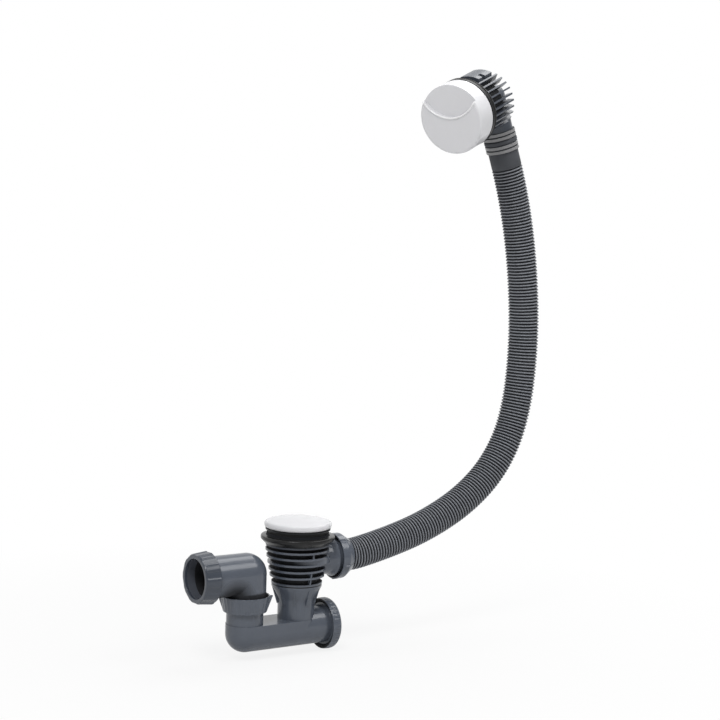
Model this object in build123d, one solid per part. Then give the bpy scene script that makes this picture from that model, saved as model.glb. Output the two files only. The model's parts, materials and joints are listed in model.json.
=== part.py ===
from build123d import *
import math
import os

# Bath waste and overflow with a plug that a knob lifts through a pull cable, in millimetres.
# The origin is on the waste's axis, on the bath's surface under the foam gasket, and +Z is up.
# +X runs to the hose and the cleaning cap, and -X to the outlet.

# Clearances
FIT = 0.2                  # radial gap between fixed pieces that push together
SNUG = 0.05                # radial gap between a pin and the hole that grips it
RUN = 0.08                 # radial running gap of a shaft
FREE = 0.3                 # gap between pieces that move past each other
WALL = 2.6                 # moulded wall

# Plug
PLUG_RADIUS = 35.0
PLUG_RIM = 6.0             # height of the plug's edge
PLUG_DOME = 5.3            # rise of the dome over the edge
PLUG_ROUND = 2.0
PLUG_GAP = 0.6             # closed plug over the flange
PLUG_RECESS_INSET = 8.0    # recess inside the seat's edge
PLUG_RECESS = 2.4
PLUG_SEAL = 3.2            # height of the seal under the plug
STEM_RADIUS = 3.5
STEM_HEAD_RADIUS = 9.0
STEM_HEAD = 2.0
STEM_LENGTH = 35.4         # from under the head to the lower end
STEM_SCREW_RADIUS = 2.4
STEM_SCREW_GRIP = 8.0      # length of the screw inside the stem
LOCK_NUT_ACROSS = 8.0
LOCK_NUT = 3.2

# Flange and the gaskets at the bath
PLUG_OVERHANG = 1.2        # plug's edge past the flange's
FLANGE_RIM = 1.4
FLANGE_WALL = 1.8
PLUG_COVER = 7.0           # plug's edge past the seat's
SEAT_WIDTH = 6.4           # conical seat, across and down
SEAT_DEPTH = 6.0
FOAM_INSET = 2.4           # foam's edge inside the flange's
FOAM = 3.0
GRID_DEPTH = 9.0           # top of the cross below the bath
GRID = 3.0
HUB_WALL = 3.5
SPOKE = 9.0
FLANGE_SCREW_INSET = 6.1   # screw's axis inside the throat
FLANGE_SCREW_RADIUS = 2.2
FLANGE_SCREW_HEAD_RADIUS = 4.0
FLANGE_SCREW_HEAD = 2.4
FLANGE_SCREW_LENGTH = 19.0
CROSS_SLOT = 1.3           # length of a screw's crossed slot over its head's radius
LIP_TOP_INSET = 1.6        # lip's top inside its foot
LIP_BULGE_OUT = 4.5        # lip's widest line outside its foot
LIP_BULGE = 5.0            # depth of the lip's widest line
LIP_ROUND = 1.8
LIP_SLEEVE = 2.6           # plain sleeve over the lip
LIP_OVERHANG = 0.8         # lip's foot outside the waste body's flange
LIP_HEIGHT = 11.2

# Waste body
NECK_WALL = 2.3            # neck passes the hole in the bath
NECK_TOP = -2.5
CORE_SHOULDER = 0.6        # core's top outside the neck
BODY_FLANGE_RISE = 6.7     # heights over the core's outside
BODY_FLANGE = 2.0
BODY_HEIGHT = 40.0         # core from its flange to its foot
SOCKET_WALL = 2.3          # wall of the core's foot around the trap's inlet
FIN_COUNT = 5
FIN = 2.0
FIRST_FIN_DROP = 4.4       # below the flange
LAST_FIN_RISE = 8.6        # above the foot
FIRST_FIN_HEIGHT = 6.9
LAST_FIN_HEIGHT = 6.5
FOOT_RIM_HEIGHT = 4.5
WEB = 1.8
BAND_OFFSET = 5.0          # smooth band that runs into the spigot's boss
BAND_RISE = 3.3            # band over the core's top
SPIGOT_BORE = 14.5
BOSS_WALL = 3.3
BOSS_GAP = 0.5             # boss below the lip gasket
BOSS_FLARE = 7.0
BOSS_FLARE_RISE = 2.8
SPIGOT_WALL = 4.1
SPIGOT_LENGTH = 12.5
SOCKET_DEPTH = 7.0         # trap's inlet inside the waste body

# Lift lever and cable
LEVER_X = 13.0
LEVER_SWING = 40.0         # degrees, half each side of level
LEVER_HUB_RADIUS = 4.2
LEVER_HALF_WIDTH = 4.9
LEVER_TIP_RADIUS = 2.6
LEVER_ARM = 2.4            # thickness of the arm under the plug
LEVER_PIN_RADIUS = 1.5
LEVER_PIN_LENGTH = 22.0
BRACKET = 8.0
KNOB_TURN = 90.0           # degrees
CABLE_SIDE = 4.7           # cable's offset from the hose's centre line, towards -Y
SHEATH_RADIUS = 2.5
SHEATH_BORE = 1.25
WIRE_RADIUS = 0.8
WIRE_INSIDE = 14.0         # length of a wire end inside its sheath
YOKE = 3.0                 # thickness of a yoke
YOKE_WALL = 1.5
YOKE_PLAY = 0.5
CRANK_PIN_RADIUS = 1.5
GUIDE_LENGTH = 6.0
GUIDE_WALL = 2.0
GUIDE_BAR = 5.0
GUIDE_HUB_RADIUS = 4.4
GUIDE_LIP = 1.2
LOWER_GUIDE_DEPTH = 17.0   # inside the spigot's end

# Overflow hose, with its bends as (radius, degrees) one after another
HOSE_BORE = 12.6
HOSE_WALL = 1.8            # wall between two rings
HOSE_WAVE = 2.5            # height of a ring
HOSE_PITCH = 6.2
HOSE_FLANGE_RISE = 2.9
HOSE_FLANGE = 2.5
HOSE_TAIL = 4.0            # plain length between flange and first ring
HOSE_CUFF_WALL = 2.0
HOSE_CUFF = 19.5
HOSE_CUFF_FLOOR = 1.5      # floor of the cuff under the neck's end
BEND_1 = 80.0
BEND_2 = 661.0
BEND_3 = 315.0
BEND_4 = 199.0
BEND_5 = 141.0
BEND_6 = 241.0
BEND_7 = 486.0
BEND_8 = 633.0
BEND_9 = 530.0
HOSE_BENDS = [(BEND_1, 10.1), (BEND_2, 5.2), (BEND_3, 12.0), (BEND_4, 12.4), (BEND_5, 34.1),
              (BEND_6, 10.0), (BEND_7, 9.9), (BEND_8, 7.6), (BEND_9, 8.0)]
BORE_STEP = 26.0           # spacing of the sections along the hose's bore
WASHER = 2.5
HOSE_NUT_GAP = 2.6         # nut clear of the boss
HOSE_NUT_WALL = 5.2
HOSE_NUT_STRAIGHT = 8.0
HOSE_NUT_MOUTH_WALL = 3.5
HOSE_NUT_LIP = 2.3
HOSE_NUT_RIBS = 5

# Overflow head, along its own axis out from the neck
HEAD_SWIVEL = 21.5         # degrees about the neck, towards -Y
HEAD_STANDOFF = 4.0        # drum's back clear of the neck
KNOB_RADIUS = 37.0
KNOB_DEPTH = 25.0
KNOB_ROUND = 3.0
KNOB_BACK_ROUND = 1.0
KNOB_GAP = 0.8
KNOB_STEP = 4.5            # depth of the finger step
KNOB_STEP_RADIUS = 35.5
KNOB_STEP_HEIGHT = 2.7     # lowest point of the step's arc above the axis
KNOB_STEP_TURN = -7.0      # degrees from upright with the plug closed
KNOB_BOSS_RADIUS = 8.0
SPINDLE_RADIUS = 4.0
SPINDLE_COLLAR_RADIUS = 6.0
SPINDLE_COLLAR = 2.6
CLIP_RADIUS = 6.6
CLIP = 1.4
BEARING_RADIUS = 8.0
BEARING_LENGTH = 15.0
PLATE = 3.0
PLATE_RING = 9.0           # width of the plate's outer ring
GASKET_OVERHANG = 0.2      # gasket's edge past the plate's
GASKET = 4.0
HEAD_FLANGE_INSET = 2.0    # flange's edge inside the plate's
HEAD_FLANGE = 3.0
DRUM_RADIUS = 27.0
DRUM_LENGTH = 30.0
RIB_HEIGHT = 6.0
RIB = 1.8
RIB_COUNT = 30
RIB_TOOTH = 13.0           # ribs run past the drum as teeth
TAB_WIDTH = 22.0
TAB_LENGTH = 28.0
TAB_BACK = 6.0             # tab's back behind the drum's
TAB_TURN = -12.0           # degrees about the drum's axis, from upright
TAB_SLOT = 6.0
TAB_RISE = 2.4             # tab's top over the ribs
HEAD_SCREW_INSET = 4.2     # screw's axis inside the drum's bore
HEAD_SCREW_RADIUS = 2.0
HEAD_SCREW_HEAD_RADIUS = 3.8
HEAD_SCREW_HEAD = 2.2
HEAD_SCREW_LENGTH = 20.0
HEAD_BOSS_RADIUS = 4.6
PIPE_BORE = 13.4           # rear pipe and neck
PIPE_WALL = 2.8
COLLAR_TOP = 37.0          # ridged collar below the head's axis
COLLAR_LENGTH = 22.0
COLLAR_RISE = 0.4          # collar over the pipe
RIDGE_HEIGHT = 1.3
RIDGE = 3.0
RIDGE_COUNT = 3
BARB_RADIUS = 14.2         # neck's end inside the hose's cuff
BARB_WALL = 2.2
UPPER_GUIDE_DEPTH = 24.0
CRANK_EDGE = 2.0           # disc outside its pin
CRANK = 5.0
CRANK_FLOOR = 1.25         # disc under the spindle's end
CRANK_GAP = 2.0            # crank's disc clear of its yoke

# Trap
INLET_SEAL = 1.2
COLLAR_RIM_INSET = 0.3     # collar's rim inside the waste body's
COLLAR_RIM = 2.0
COLLAR_HEIGHT = 16.1
INLET_WALL = 2.5
INLET_SPIGOT_WALL = 2.7
GUSSET = 1.4
GUSSET_COUNT = 10
GUSSET_DROP = 4.0          # gussets run below the collar
INLET_DROP = 29.7          # collar's foot to the tube's axis
TUBE_BORE = 16.8
TUBE_WALL = 3.0
ROOF_HEIGHT = 10.2         # flat roof over the tube's axis, between inlet and riser
RISER_REACH = 61.7         # riser's axis to the waste's
RISER_WALL = 2.3
RISER_HEIGHT = 31.7        # tube's axis to the riser's top
CAP_REACH = 37.0           # tube's open end to the waste's axis
CAP_THREAD = 4.5
CAP_THREAD_RISE = 2.2
CAP_SKIRT = 6.5            # cap's edge behind the tube's end
CAP_WALL = 4.2
CAP_FLUTE = 0.6            # height of a flute
CAP_FLUTES = 40
CAP_FLUTE_WIDTH = 2.0
CAP_FACE = 2.5
CAP_DOME = 1.2
FLAT_SEAL = 1.8
RISER_FLANGE = 2.5

# Elbow, union nuts and outlet
ELBOW_REACH = 48.3         # outlet's end to the riser's axis
ELBOW_BORE_STEP = 0.7      # elbow's bore over the tube's
PIPE_SOCKET_RADIUS = 20.2  # takes a 40 mm waste pipe
PIPE_SOCKET_WALL = 1.3
PIPE_SOCKET_DEPTH = 24.0
RISER_NUT_HEIGHT = 16.7
RISER_NUT_LIP = 6.1
RISER_NUT_WALL = 3.7
RISER_NUT_TAPER = 2.6
RISER_NUT_FLUTES = 30
RISER_NUT_FLUTE = 0.8      # height of a flute
RISER_NUT_LUG = 3.0        # height of the two side lugs
RISER_NUT_LUG_WIDTH = 5.0
RISER_NUT_LUG_ANGLE = -34.0
OUTLET_NUT_LENGTH = 17.5
OUTLET_NUT_WALL = 4.6
OUTLET_NUT_TAPER = 1.7
OUTLET_NUT_LIP = 3.0
OUTLET_NUT_LOBES = 10
OUTLET_NUT_LOBE = 1.0
OUTLET_NUT_LOBE_WIDTH = 9.0
PIPE_PASS = 0.4            # lip clear of the seal's bore
OUTLET_SEAL = 5.9
FRICTION_RING = 2.6

# Radii that follow from the driving values
FLANGE_RADIUS = PLUG_RADIUS - PLUG_OVERHANG
FOAM_RADIUS = FLANGE_RADIUS - FOAM_INSET
SEAT_RADIUS = PLUG_RADIUS - PLUG_COVER
THROAT_RADIUS = SEAT_RADIUS - SEAT_WIDTH
PLUG_RECESS_RADIUS = SEAT_RADIUS - PLUG_RECESS_INSET
SEAT_SLOPE = SEAT_WIDTH / SEAT_DEPTH
SEAT_UNDER_RADIUS = SEAT_RADIUS - FLANGE_RIM * SEAT_SLOPE + FLANGE_WALL * math.sqrt(1 + SEAT_SLOPE ** 2)
SLEEVE_RADIUS = THROAT_RADIUS + FLANGE_WALL
HUB_RADIUS = STEM_RADIUS + HUB_WALL
FLANGE_SCREW_CIRCLE = THROAT_RADIUS - FLANGE_SCREW_INSET
NECK_RADIUS = SLEEVE_RADIUS + FIT + NECK_WALL
CORE_TOP_RADIUS = NECK_RADIUS + CORE_SHOULDER
BODY_FLANGE_RADIUS = CORE_TOP_RADIUS + BODY_FLANGE_RISE
LIP_FOOT_RADIUS = BODY_FLANGE_RADIUS + LIP_OVERHANG
LIP_TOP_RADIUS = LIP_FOOT_RADIUS - LIP_TOP_INSET
LIP_RADIUS = LIP_FOOT_RADIUS + LIP_BULGE_OUT
TUBE_RADIUS = TUBE_BORE + TUBE_WALL
RISER_RADIUS = TUBE_BORE + RISER_WALL
INLET_RADIUS = TUBE_BORE + INLET_WALL
INLET_SPIGOT_RADIUS = TUBE_BORE + INLET_SPIGOT_WALL
CORE_FOOT_RADIUS = INLET_SPIGOT_RADIUS + FIT + SOCKET_WALL
FIRST_FIN_RADIUS = CORE_TOP_RADIUS + FIRST_FIN_HEIGHT
LAST_FIN_RADIUS = CORE_FOOT_RADIUS + LAST_FIN_HEIGHT
FOOT_RIM_RADIUS = CORE_FOOT_RADIUS + FOOT_RIM_HEIGHT
COLLAR_RIM_RADIUS = FOOT_RIM_RADIUS - COLLAR_RIM_INSET
BOSS_RADIUS = SPIGOT_BORE + BOSS_WALL
BOSS_FLARE_RADIUS = BOSS_RADIUS + BOSS_FLARE_RISE
SPIGOT_RADIUS = SPIGOT_BORE + SPIGOT_WALL
HOSE_ROOT = HOSE_BORE + HOSE_WALL
HOSE_CREST = HOSE_ROOT + HOSE_WAVE
HOSE_FLANGE_RADIUS = HOSE_ROOT + HOSE_FLANGE_RISE
HOSE_CUFF_RADIUS = BARB_RADIUS + FIT + HOSE_CUFF_WALL
HOSE_NUT_RADIUS = SPIGOT_RADIUS + FIT + HOSE_NUT_WALL
HOSE_NUT_MOUTH_RADIUS = HOSE_ROOT + FREE + HOSE_NUT_MOUTH_WALL
GASKET_RADIUS = KNOB_RADIUS + GASKET_OVERHANG
HEAD_FLANGE_RADIUS = KNOB_RADIUS - HEAD_FLANGE_INSET
DRUM_BORE = DRUM_RADIUS - WALL
RIB_RADIUS = DRUM_RADIUS + RIB_HEIGHT
HEAD_SCREW_CIRCLE = DRUM_BORE - HEAD_SCREW_INSET
PIPE_RADIUS = PIPE_BORE + PIPE_WALL
COLLAR_RADIUS = PIPE_RADIUS + COLLAR_RISE
RIDGE_RADIUS = COLLAR_RADIUS + RIDGE_HEIGHT
BARB_BORE = BARB_RADIUS - BARB_WALL
CAP_THREAD_RADIUS = TUBE_RADIUS + CAP_THREAD_RISE
CAP_RADIUS = CAP_THREAD_RADIUS + FIT + CAP_WALL
CAP_FLUTE_RADIUS = CAP_RADIUS + CAP_FLUTE
ELBOW_BORE = TUBE_BORE + ELBOW_BORE_STEP
ELBOW_RADIUS = PIPE_SOCKET_RADIUS + PIPE_SOCKET_WALL
UNION_RADIUS = ELBOW_RADIUS + FIT
RISER_NUT_TOP_RADIUS = UNION_RADIUS + RISER_NUT_WALL
RISER_NUT_FOOT_RADIUS = RISER_NUT_TOP_RADIUS - RISER_NUT_TAPER
OUTLET_NUT_RADIUS = UNION_RADIUS + OUTLET_NUT_WALL
OUTLET_NUT_MOUTH_RADIUS = OUTLET_NUT_RADIUS - OUTLET_NUT_TAPER
PIPE_PASS_RADIUS = PIPE_SOCKET_RADIUS + PIPE_PASS

# Plug, waste and trap down the waste's axis
FLANGE_TOP = FOAM + FLANGE_RIM
PLUG_UNDER = FLANGE_TOP + PLUG_GAP
PLUG_CEILING = PLUG_UNDER + PLUG_RECESS
STEM_FOOT = PLUG_CEILING - STEM_HEAD - STEM_LENGTH
GRID_FOOT = -GRID_DEPTH - GRID
BODY_SHOULDER = -LIP_HEIGHT
BODY_FLANGE_FOOT = BODY_SHOULDER - BODY_FLANGE
BODY_FOOT = BODY_FLANGE_FOOT - BODY_HEIGHT
FIRST_FIN = BODY_FLANGE_FOOT - FIRST_FIN_DROP
LAST_FIN = BODY_FOOT + LAST_FIN_RISE
SPIGOT_Z = BODY_SHOULDER - BOSS_GAP - BOSS_RADIUS
COLLAR_RIM_TOP = BODY_FOOT - INLET_SEAL
SOCKET_TOP = BODY_FOOT + SOCKET_DEPTH
COLLAR_FOOT = COLLAR_RIM_TOP - COLLAR_HEIGHT
TUBE_Z = COLLAR_FOOT - INLET_DROP
ROOF_TOP = TUBE_Z + ROOF_HEIGHT
ROOF_CEILING = ROOF_TOP - TUBE_WALL
RISER_FLANGE_TOP = TUBE_Z + RISER_HEIGHT
RISER_SEAL_TOP = RISER_FLANGE_TOP + FLAT_SEAL
RISER_NUT_LEDGE = RISER_FLANGE_TOP - RISER_FLANGE
RISER_NUT_FOOT = RISER_NUT_LEDGE - RISER_NUT_LIP
RISER_NUT_TOP = RISER_NUT_FOOT + RISER_NUT_HEIGHT
ELBOW_Z = RISER_NUT_TOP + FREE + ELBOW_RADIUS

# Hose side, cap and outlet along X
BOSS_FLARE_START = LIP_FOOT_RADIUS - BOSS_GAP
BOSS_END = BOSS_FLARE_START + BOSS_FLARE
SPIGOT_END = BOSS_END + SPIGOT_LENGTH
LOWER_GUIDE_X = SPIGOT_END - LOWER_GUIDE_DEPTH
HOSE_NUT_START = BOSS_END + HOSE_NUT_GAP
HOSE_FLANGE_X = SPIGOT_END + WASHER
HOSE_START_X = HOSE_FLANGE_X + HOSE_FLANGE + HOSE_TAIL
HOSE_LENGTH = sum(radius * math.radians(turn) for radius, turn in HOSE_BENDS)
HOSE_TURN = math.radians(sum(turn for radius, turn in HOSE_BENDS))
CAP_THREAD_START = CAP_REACH - CAP_THREAD
CAP_START = CAP_REACH - CAP_SKIRT
CAP_INSIDE = CAP_REACH + FLAT_SEAL
RISER_X = -RISER_REACH
ELBOW_END = RISER_X - ELBOW_REACH
OUTLET_SEAL_X = ELBOW_END - OUTLET_SEAL
OUTLET_LIP_X = OUTLET_SEAL_X - FRICTION_RING
OUTLET_NUT_END = OUTLET_LIP_X - OUTLET_NUT_LIP
OUTLET_NUT_START = OUTLET_NUT_END + OUTLET_NUT_LENGTH

# Head along its axis
COLLAR_FOOT_DEPTH = COLLAR_TOP + COLLAR_LENGTH
DRUM_BACK = PIPE_RADIUS + HEAD_STANDOFF
DRUM_FRONT = DRUM_BACK + DRUM_LENGTH
HEAD_FRONT = DRUM_FRONT + HEAD_FLANGE
GASKET_FRONT = HEAD_FRONT + GASKET
PLATE_FRONT = GASKET_FRONT + PLATE
KNOB_BACK = PLATE_FRONT + KNOB_GAP
HEAD_REACH = KNOB_BACK + KNOB_DEPTH

# Cable drive: equal pull at the crank and at the lever, each half to both sides of the middle
HALF_TURN = math.radians(KNOB_TURN / 2)
WIRE_SIDE = CABLE_SIDE * math.cos(math.radians(HEAD_SWIVEL))
WIRE_DEPTH = CABLE_SIDE * math.sin(math.radians(HEAD_SWIVEL))
CRANK_RADIUS = 2 * WIRE_SIDE / (1 + math.cos(HALF_TURN))
CRANK_DISC_RADIUS = CRANK_RADIUS + CRANK_PIN_RADIUS + CRANK_EDGE
CRANK_BACK = WIRE_DEPTH + YOKE / 2 + CRANK_GAP
PULL = 2 * CRANK_RADIUS * math.sin(HALF_TURN)
HALF_SWING = math.radians(LEVER_SWING / 2)
PULL_ARM = PULL / (2 * math.sin(HALF_SWING))
LEVER_Z = SPIGOT_Z - PULL_ARM * (1 + math.cos(HALF_SWING)) / 2
PLUG_ARM = LEVER_X / math.cos(HALF_SWING)
TIP_Z = LEVER_Z - PLUG_ARM * math.sin(HALF_SWING)
STEM_SCREW_FOOT = TIP_Z + LEVER_TIP_RADIUS + FREE


def turned(*corners):
    """Solid of revolution about Z from its (radius, height) corners."""
    outline = Polyline(*[(radius, 0, height) for radius, height in corners], close=True)
    return revolve(make_face(outline), Axis.Z)


def rod(radius, start, end):
    """Cylinder along Z between two heights."""
    return Pos(0, 0, (start + end) / 2) * Cylinder(radius, abs(end - start))


def round_ended(radius, centre, end):
    """Bar along Z with a half ball around its first end."""
    tip = centre - math.copysign(radius, end - centre)
    diagonal = math.sqrt(0.5)
    shoulder = (radius * diagonal, 0, centre + (tip - centre) * diagonal)
    outline = [
        Polyline((0, 0, tip), (0, 0, end), (radius, 0, end), (radius, 0, centre)),
        ThreePointArc((radius, 0, centre), shoulder, (0, 0, tip)),
    ]
    return revolve(make_face(outline), Axis.Z)


def ring(outer, inner, start, end):
    """Plain ring along Z between two heights."""
    return rod(outer, start, end) - rod(inner, start, end)


def ribs_around(count, inner, outer, width, start, end, first=0.0):
    """Radial ribs of one width, evenly spaced about Z."""
    blade = Pos((inner + outer) / 2, 0, (start + end) / 2) * Box(outer - inner, width, abs(end - start))
    return [Rot(0, 0, first + 360 * index / count) * blade for index in range(count)]


def along_x(x, z):
    """Frame on the X direction, for pieces turned about their own Z."""
    return Plane(origin=(x, 0, z), x_dir=(0, 1, 0), z_dir=(1, 0, 0))


def along_y(x, z):
    """Frame on the Y direction, for pins across the waste."""
    return Plane(origin=(x, 0, z), x_dir=(1, 0, 0), z_dir=(0, 1, 0))


def hose_at(distance):
    """Point and heading of the hose's centre line, in the XZ plane, at a distance from its first ring."""
    x = HOSE_START_X
    z = SPIGOT_Z
    heading = 0.0
    for radius, turn in HOSE_BENDS:
        bend = min(distance / radius, math.radians(turn))
        x += radius * (math.sin(heading + bend) - math.sin(heading))
        z += radius * (math.cos(heading) - math.cos(heading + bend))
        heading += bend
        distance -= radius * bend
        if distance <= 0:
            break
    return Vector(x + distance * math.cos(heading), 0, z + distance * math.sin(heading)), heading


def hose_frame(distance):
    """Frame across the hose at a distance along it, with Z along the hose."""
    point, heading = hose_at(distance)
    return Plane(origin=point, x_dir=(0, 1, 0), z_dir=(math.cos(heading), 0, math.sin(heading)))


def head_frame():
    """Frame of the overflow head: Z out through the knob, Y up the neck."""
    up = Vector(math.cos(HOSE_TURN), 0, math.sin(HOSE_TURN))
    level = Vector(-math.sin(HOSE_TURN), 0, math.cos(HOSE_TURN))
    swivel = math.radians(HEAD_SWIVEL)
    out = level * math.cos(swivel) + Vector(0, -1, 0) * math.sin(swivel)
    centre = hose_at(HOSE_LENGTH + HOSE_CUFF + COLLAR_FOOT_DEPTH)[0]
    return Plane(origin=centre, x_dir=up.cross(out), z_dir=out)


HEAD = head_frame()
# Frame of the neck: Z runs down it, from the head's axis
NECK = HEAD * Plane(origin=(0, 0, 0), x_dir=(1, 0, 0), z_dir=(0, -1, 0))


# Plug

def plug_cap():
    rim_top = PLUG_UNDER + PLUG_RIM
    crown = rim_top + PLUG_DOME
    ball = (PLUG_RADIUS ** 2 + PLUG_DOME ** 2) / (2 * PLUG_DOME)
    half = PLUG_RADIUS / 2
    outline = [
        Polyline((0, 0, crown), (0, 0, PLUG_CEILING), (PLUG_RECESS_RADIUS, 0, PLUG_CEILING),
                 (PLUG_RECESS_RADIUS, 0, PLUG_UNDER), (PLUG_RADIUS, 0, PLUG_UNDER),
                 (PLUG_RADIUS, 0, rim_top)),
        ThreePointArc((PLUG_RADIUS, 0, rim_top),
                      (half, 0, crown - ball + math.sqrt(ball ** 2 - half ** 2)), (0, 0, crown)),
    ]
    cap = revolve(make_face(outline), Axis.Z)
    rim = cap.edges().filter_by(lambda edge: edge.geom_type == GeomType.CIRCLE and edge.radius == PLUG_RADIUS)
    return fillet(rim, PLUG_ROUND)


def plug_seal():
    gap = FREE * math.sqrt(1 + SEAT_SLOPE ** 2)
    top_radius = SEAT_RADIUS + PLUG_GAP * SEAT_SLOPE - gap
    foot_radius = top_radius - PLUG_SEAL * SEAT_SLOPE
    inner = PLUG_RECESS_RADIUS + WALL
    foot = PLUG_UNDER - PLUG_SEAL
    return turned((inner, PLUG_UNDER), (top_radius, PLUG_UNDER), (foot_radius, foot), (inner, foot))


def plug_stem():
    head = rod(STEM_HEAD_RADIUS, PLUG_CEILING - STEM_HEAD, PLUG_CEILING)
    shaft = rod(STEM_RADIUS, STEM_FOOT, PLUG_CEILING - STEM_HEAD)
    return head + shaft - rod(STEM_SCREW_RADIUS + SNUG, STEM_FOOT, STEM_FOOT + STEM_SCREW_GRIP)


def stem_screw():
    screw = rod(STEM_SCREW_RADIUS, STEM_SCREW_FOOT, STEM_FOOT + STEM_SCREW_GRIP - SNUG)
    return fillet(screw.edges().group_by(Axis.Z)[0], STEM_SCREW_RADIUS / 2)


def stem_lock_nut():
    hexagon = RegularPolygon(LOCK_NUT_ACROSS / 2, 6, major_radius=False)
    nut = extrude(Pos(0, 0, STEM_FOOT) * hexagon, -LOCK_NUT)
    return nut - rod(STEM_SCREW_RADIUS + SNUG, STEM_FOOT - LOCK_NUT, STEM_FOOT)


# Flange and bath gaskets

def waste_flange():
    sleeve_start = FOAM - (SEAT_UNDER_RADIUS - SLEEVE_RADIUS) / SEAT_SLOPE
    shell = turned((SEAT_RADIUS, FLANGE_TOP), (FLANGE_RADIUS, FLANGE_TOP), (FLANGE_RADIUS, FOAM),
                   (SEAT_UNDER_RADIUS, FOAM), (SLEEVE_RADIUS, sleeve_start), (SLEEVE_RADIUS, GRID_FOOT),
                   (THROAT_RADIUS, GRID_FOOT), (THROAT_RADIUS, FLANGE_TOP - SEAT_DEPTH))
    reach = THROAT_RADIUS + FLANGE_WALL / 2
    middle = -GRID_DEPTH - GRID / 2
    cross = Pos(0, 0, middle) * (Box(2 * reach, SPOKE, GRID) + Box(SPOKE, 2 * reach, GRID))
    cross = cross & rod(reach, GRID_FOOT, -GRID_DEPTH)
    flange = shell + cross + rod(HUB_RADIUS, GRID_FOOT, -GRID_DEPTH)
    holes = [rod(STEM_RADIUS + RUN, GRID_FOOT, -GRID_DEPTH)]
    for side in (-1, 1):
        place = Pos(0, side * FLANGE_SCREW_CIRCLE, 0)
        holes.append(place * rod(FLANGE_SCREW_RADIUS + FIT, GRID_FOOT, -GRID_DEPTH))
    return flange - holes


def cross_head_screw(shank_radius, length, head_radius, head):
    """Screw along -Z from under its head, with a crossed slot half as deep as the head."""
    slot_length = CROSS_SLOT * head_radius
    slot_width = shank_radius / 2
    slot = Box(slot_length, slot_width, head) + Box(slot_width, slot_length, head)
    return rod(head_radius, 0, head) + rod(shank_radius, -length, 0) - Pos(0, 0, head) * slot


def flange_screws():
    screw = cross_head_screw(FLANGE_SCREW_RADIUS, FLANGE_SCREW_LENGTH,
                             FLANGE_SCREW_HEAD_RADIUS, FLANGE_SCREW_HEAD)
    return [Pos(0, side * FLANGE_SCREW_CIRCLE, -GRID_DEPTH) * screw for side in (-1, 1)]


def upper_gasket():
    return ring(FOAM_RADIUS, SEAT_UNDER_RADIUS + FIT, 0, FOAM)


def lip_gasket():
    inner = NECK_RADIUS + FIT
    bulge = LIP_RADIUS - LIP_ROUND
    bulge_top = LIP_BULGE - LIP_ROUND
    bulge_foot = LIP_BULGE + LIP_ROUND
    outline = [
        Polyline((bulge, 0, -bulge_foot), (LIP_FOOT_RADIUS, 0, -LIP_HEIGHT), (inner, 0, -LIP_HEIGHT),
                 (inner, 0, 0), (LIP_TOP_RADIUS, 0, 0), (LIP_TOP_RADIUS, 0, -LIP_SLEEVE),
                 (bulge, 0, -bulge_top)),
        ThreePointArc((bulge, 0, -bulge_top), (LIP_RADIUS, 0, -LIP_BULGE), (bulge, 0, -bulge_foot)),
    ]
    return revolve(make_face(outline), Axis.Z)


# Waste body

def core_radius(z):
    """Outer radius of the waste body's core, which tapers evenly to its foot."""
    share = (z - BODY_FOOT) / (BODY_FLANGE_FOOT - BODY_FOOT)
    return CORE_FOOT_RADIUS + share * (CORE_TOP_RADIUS - CORE_FOOT_RADIUS)


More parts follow.
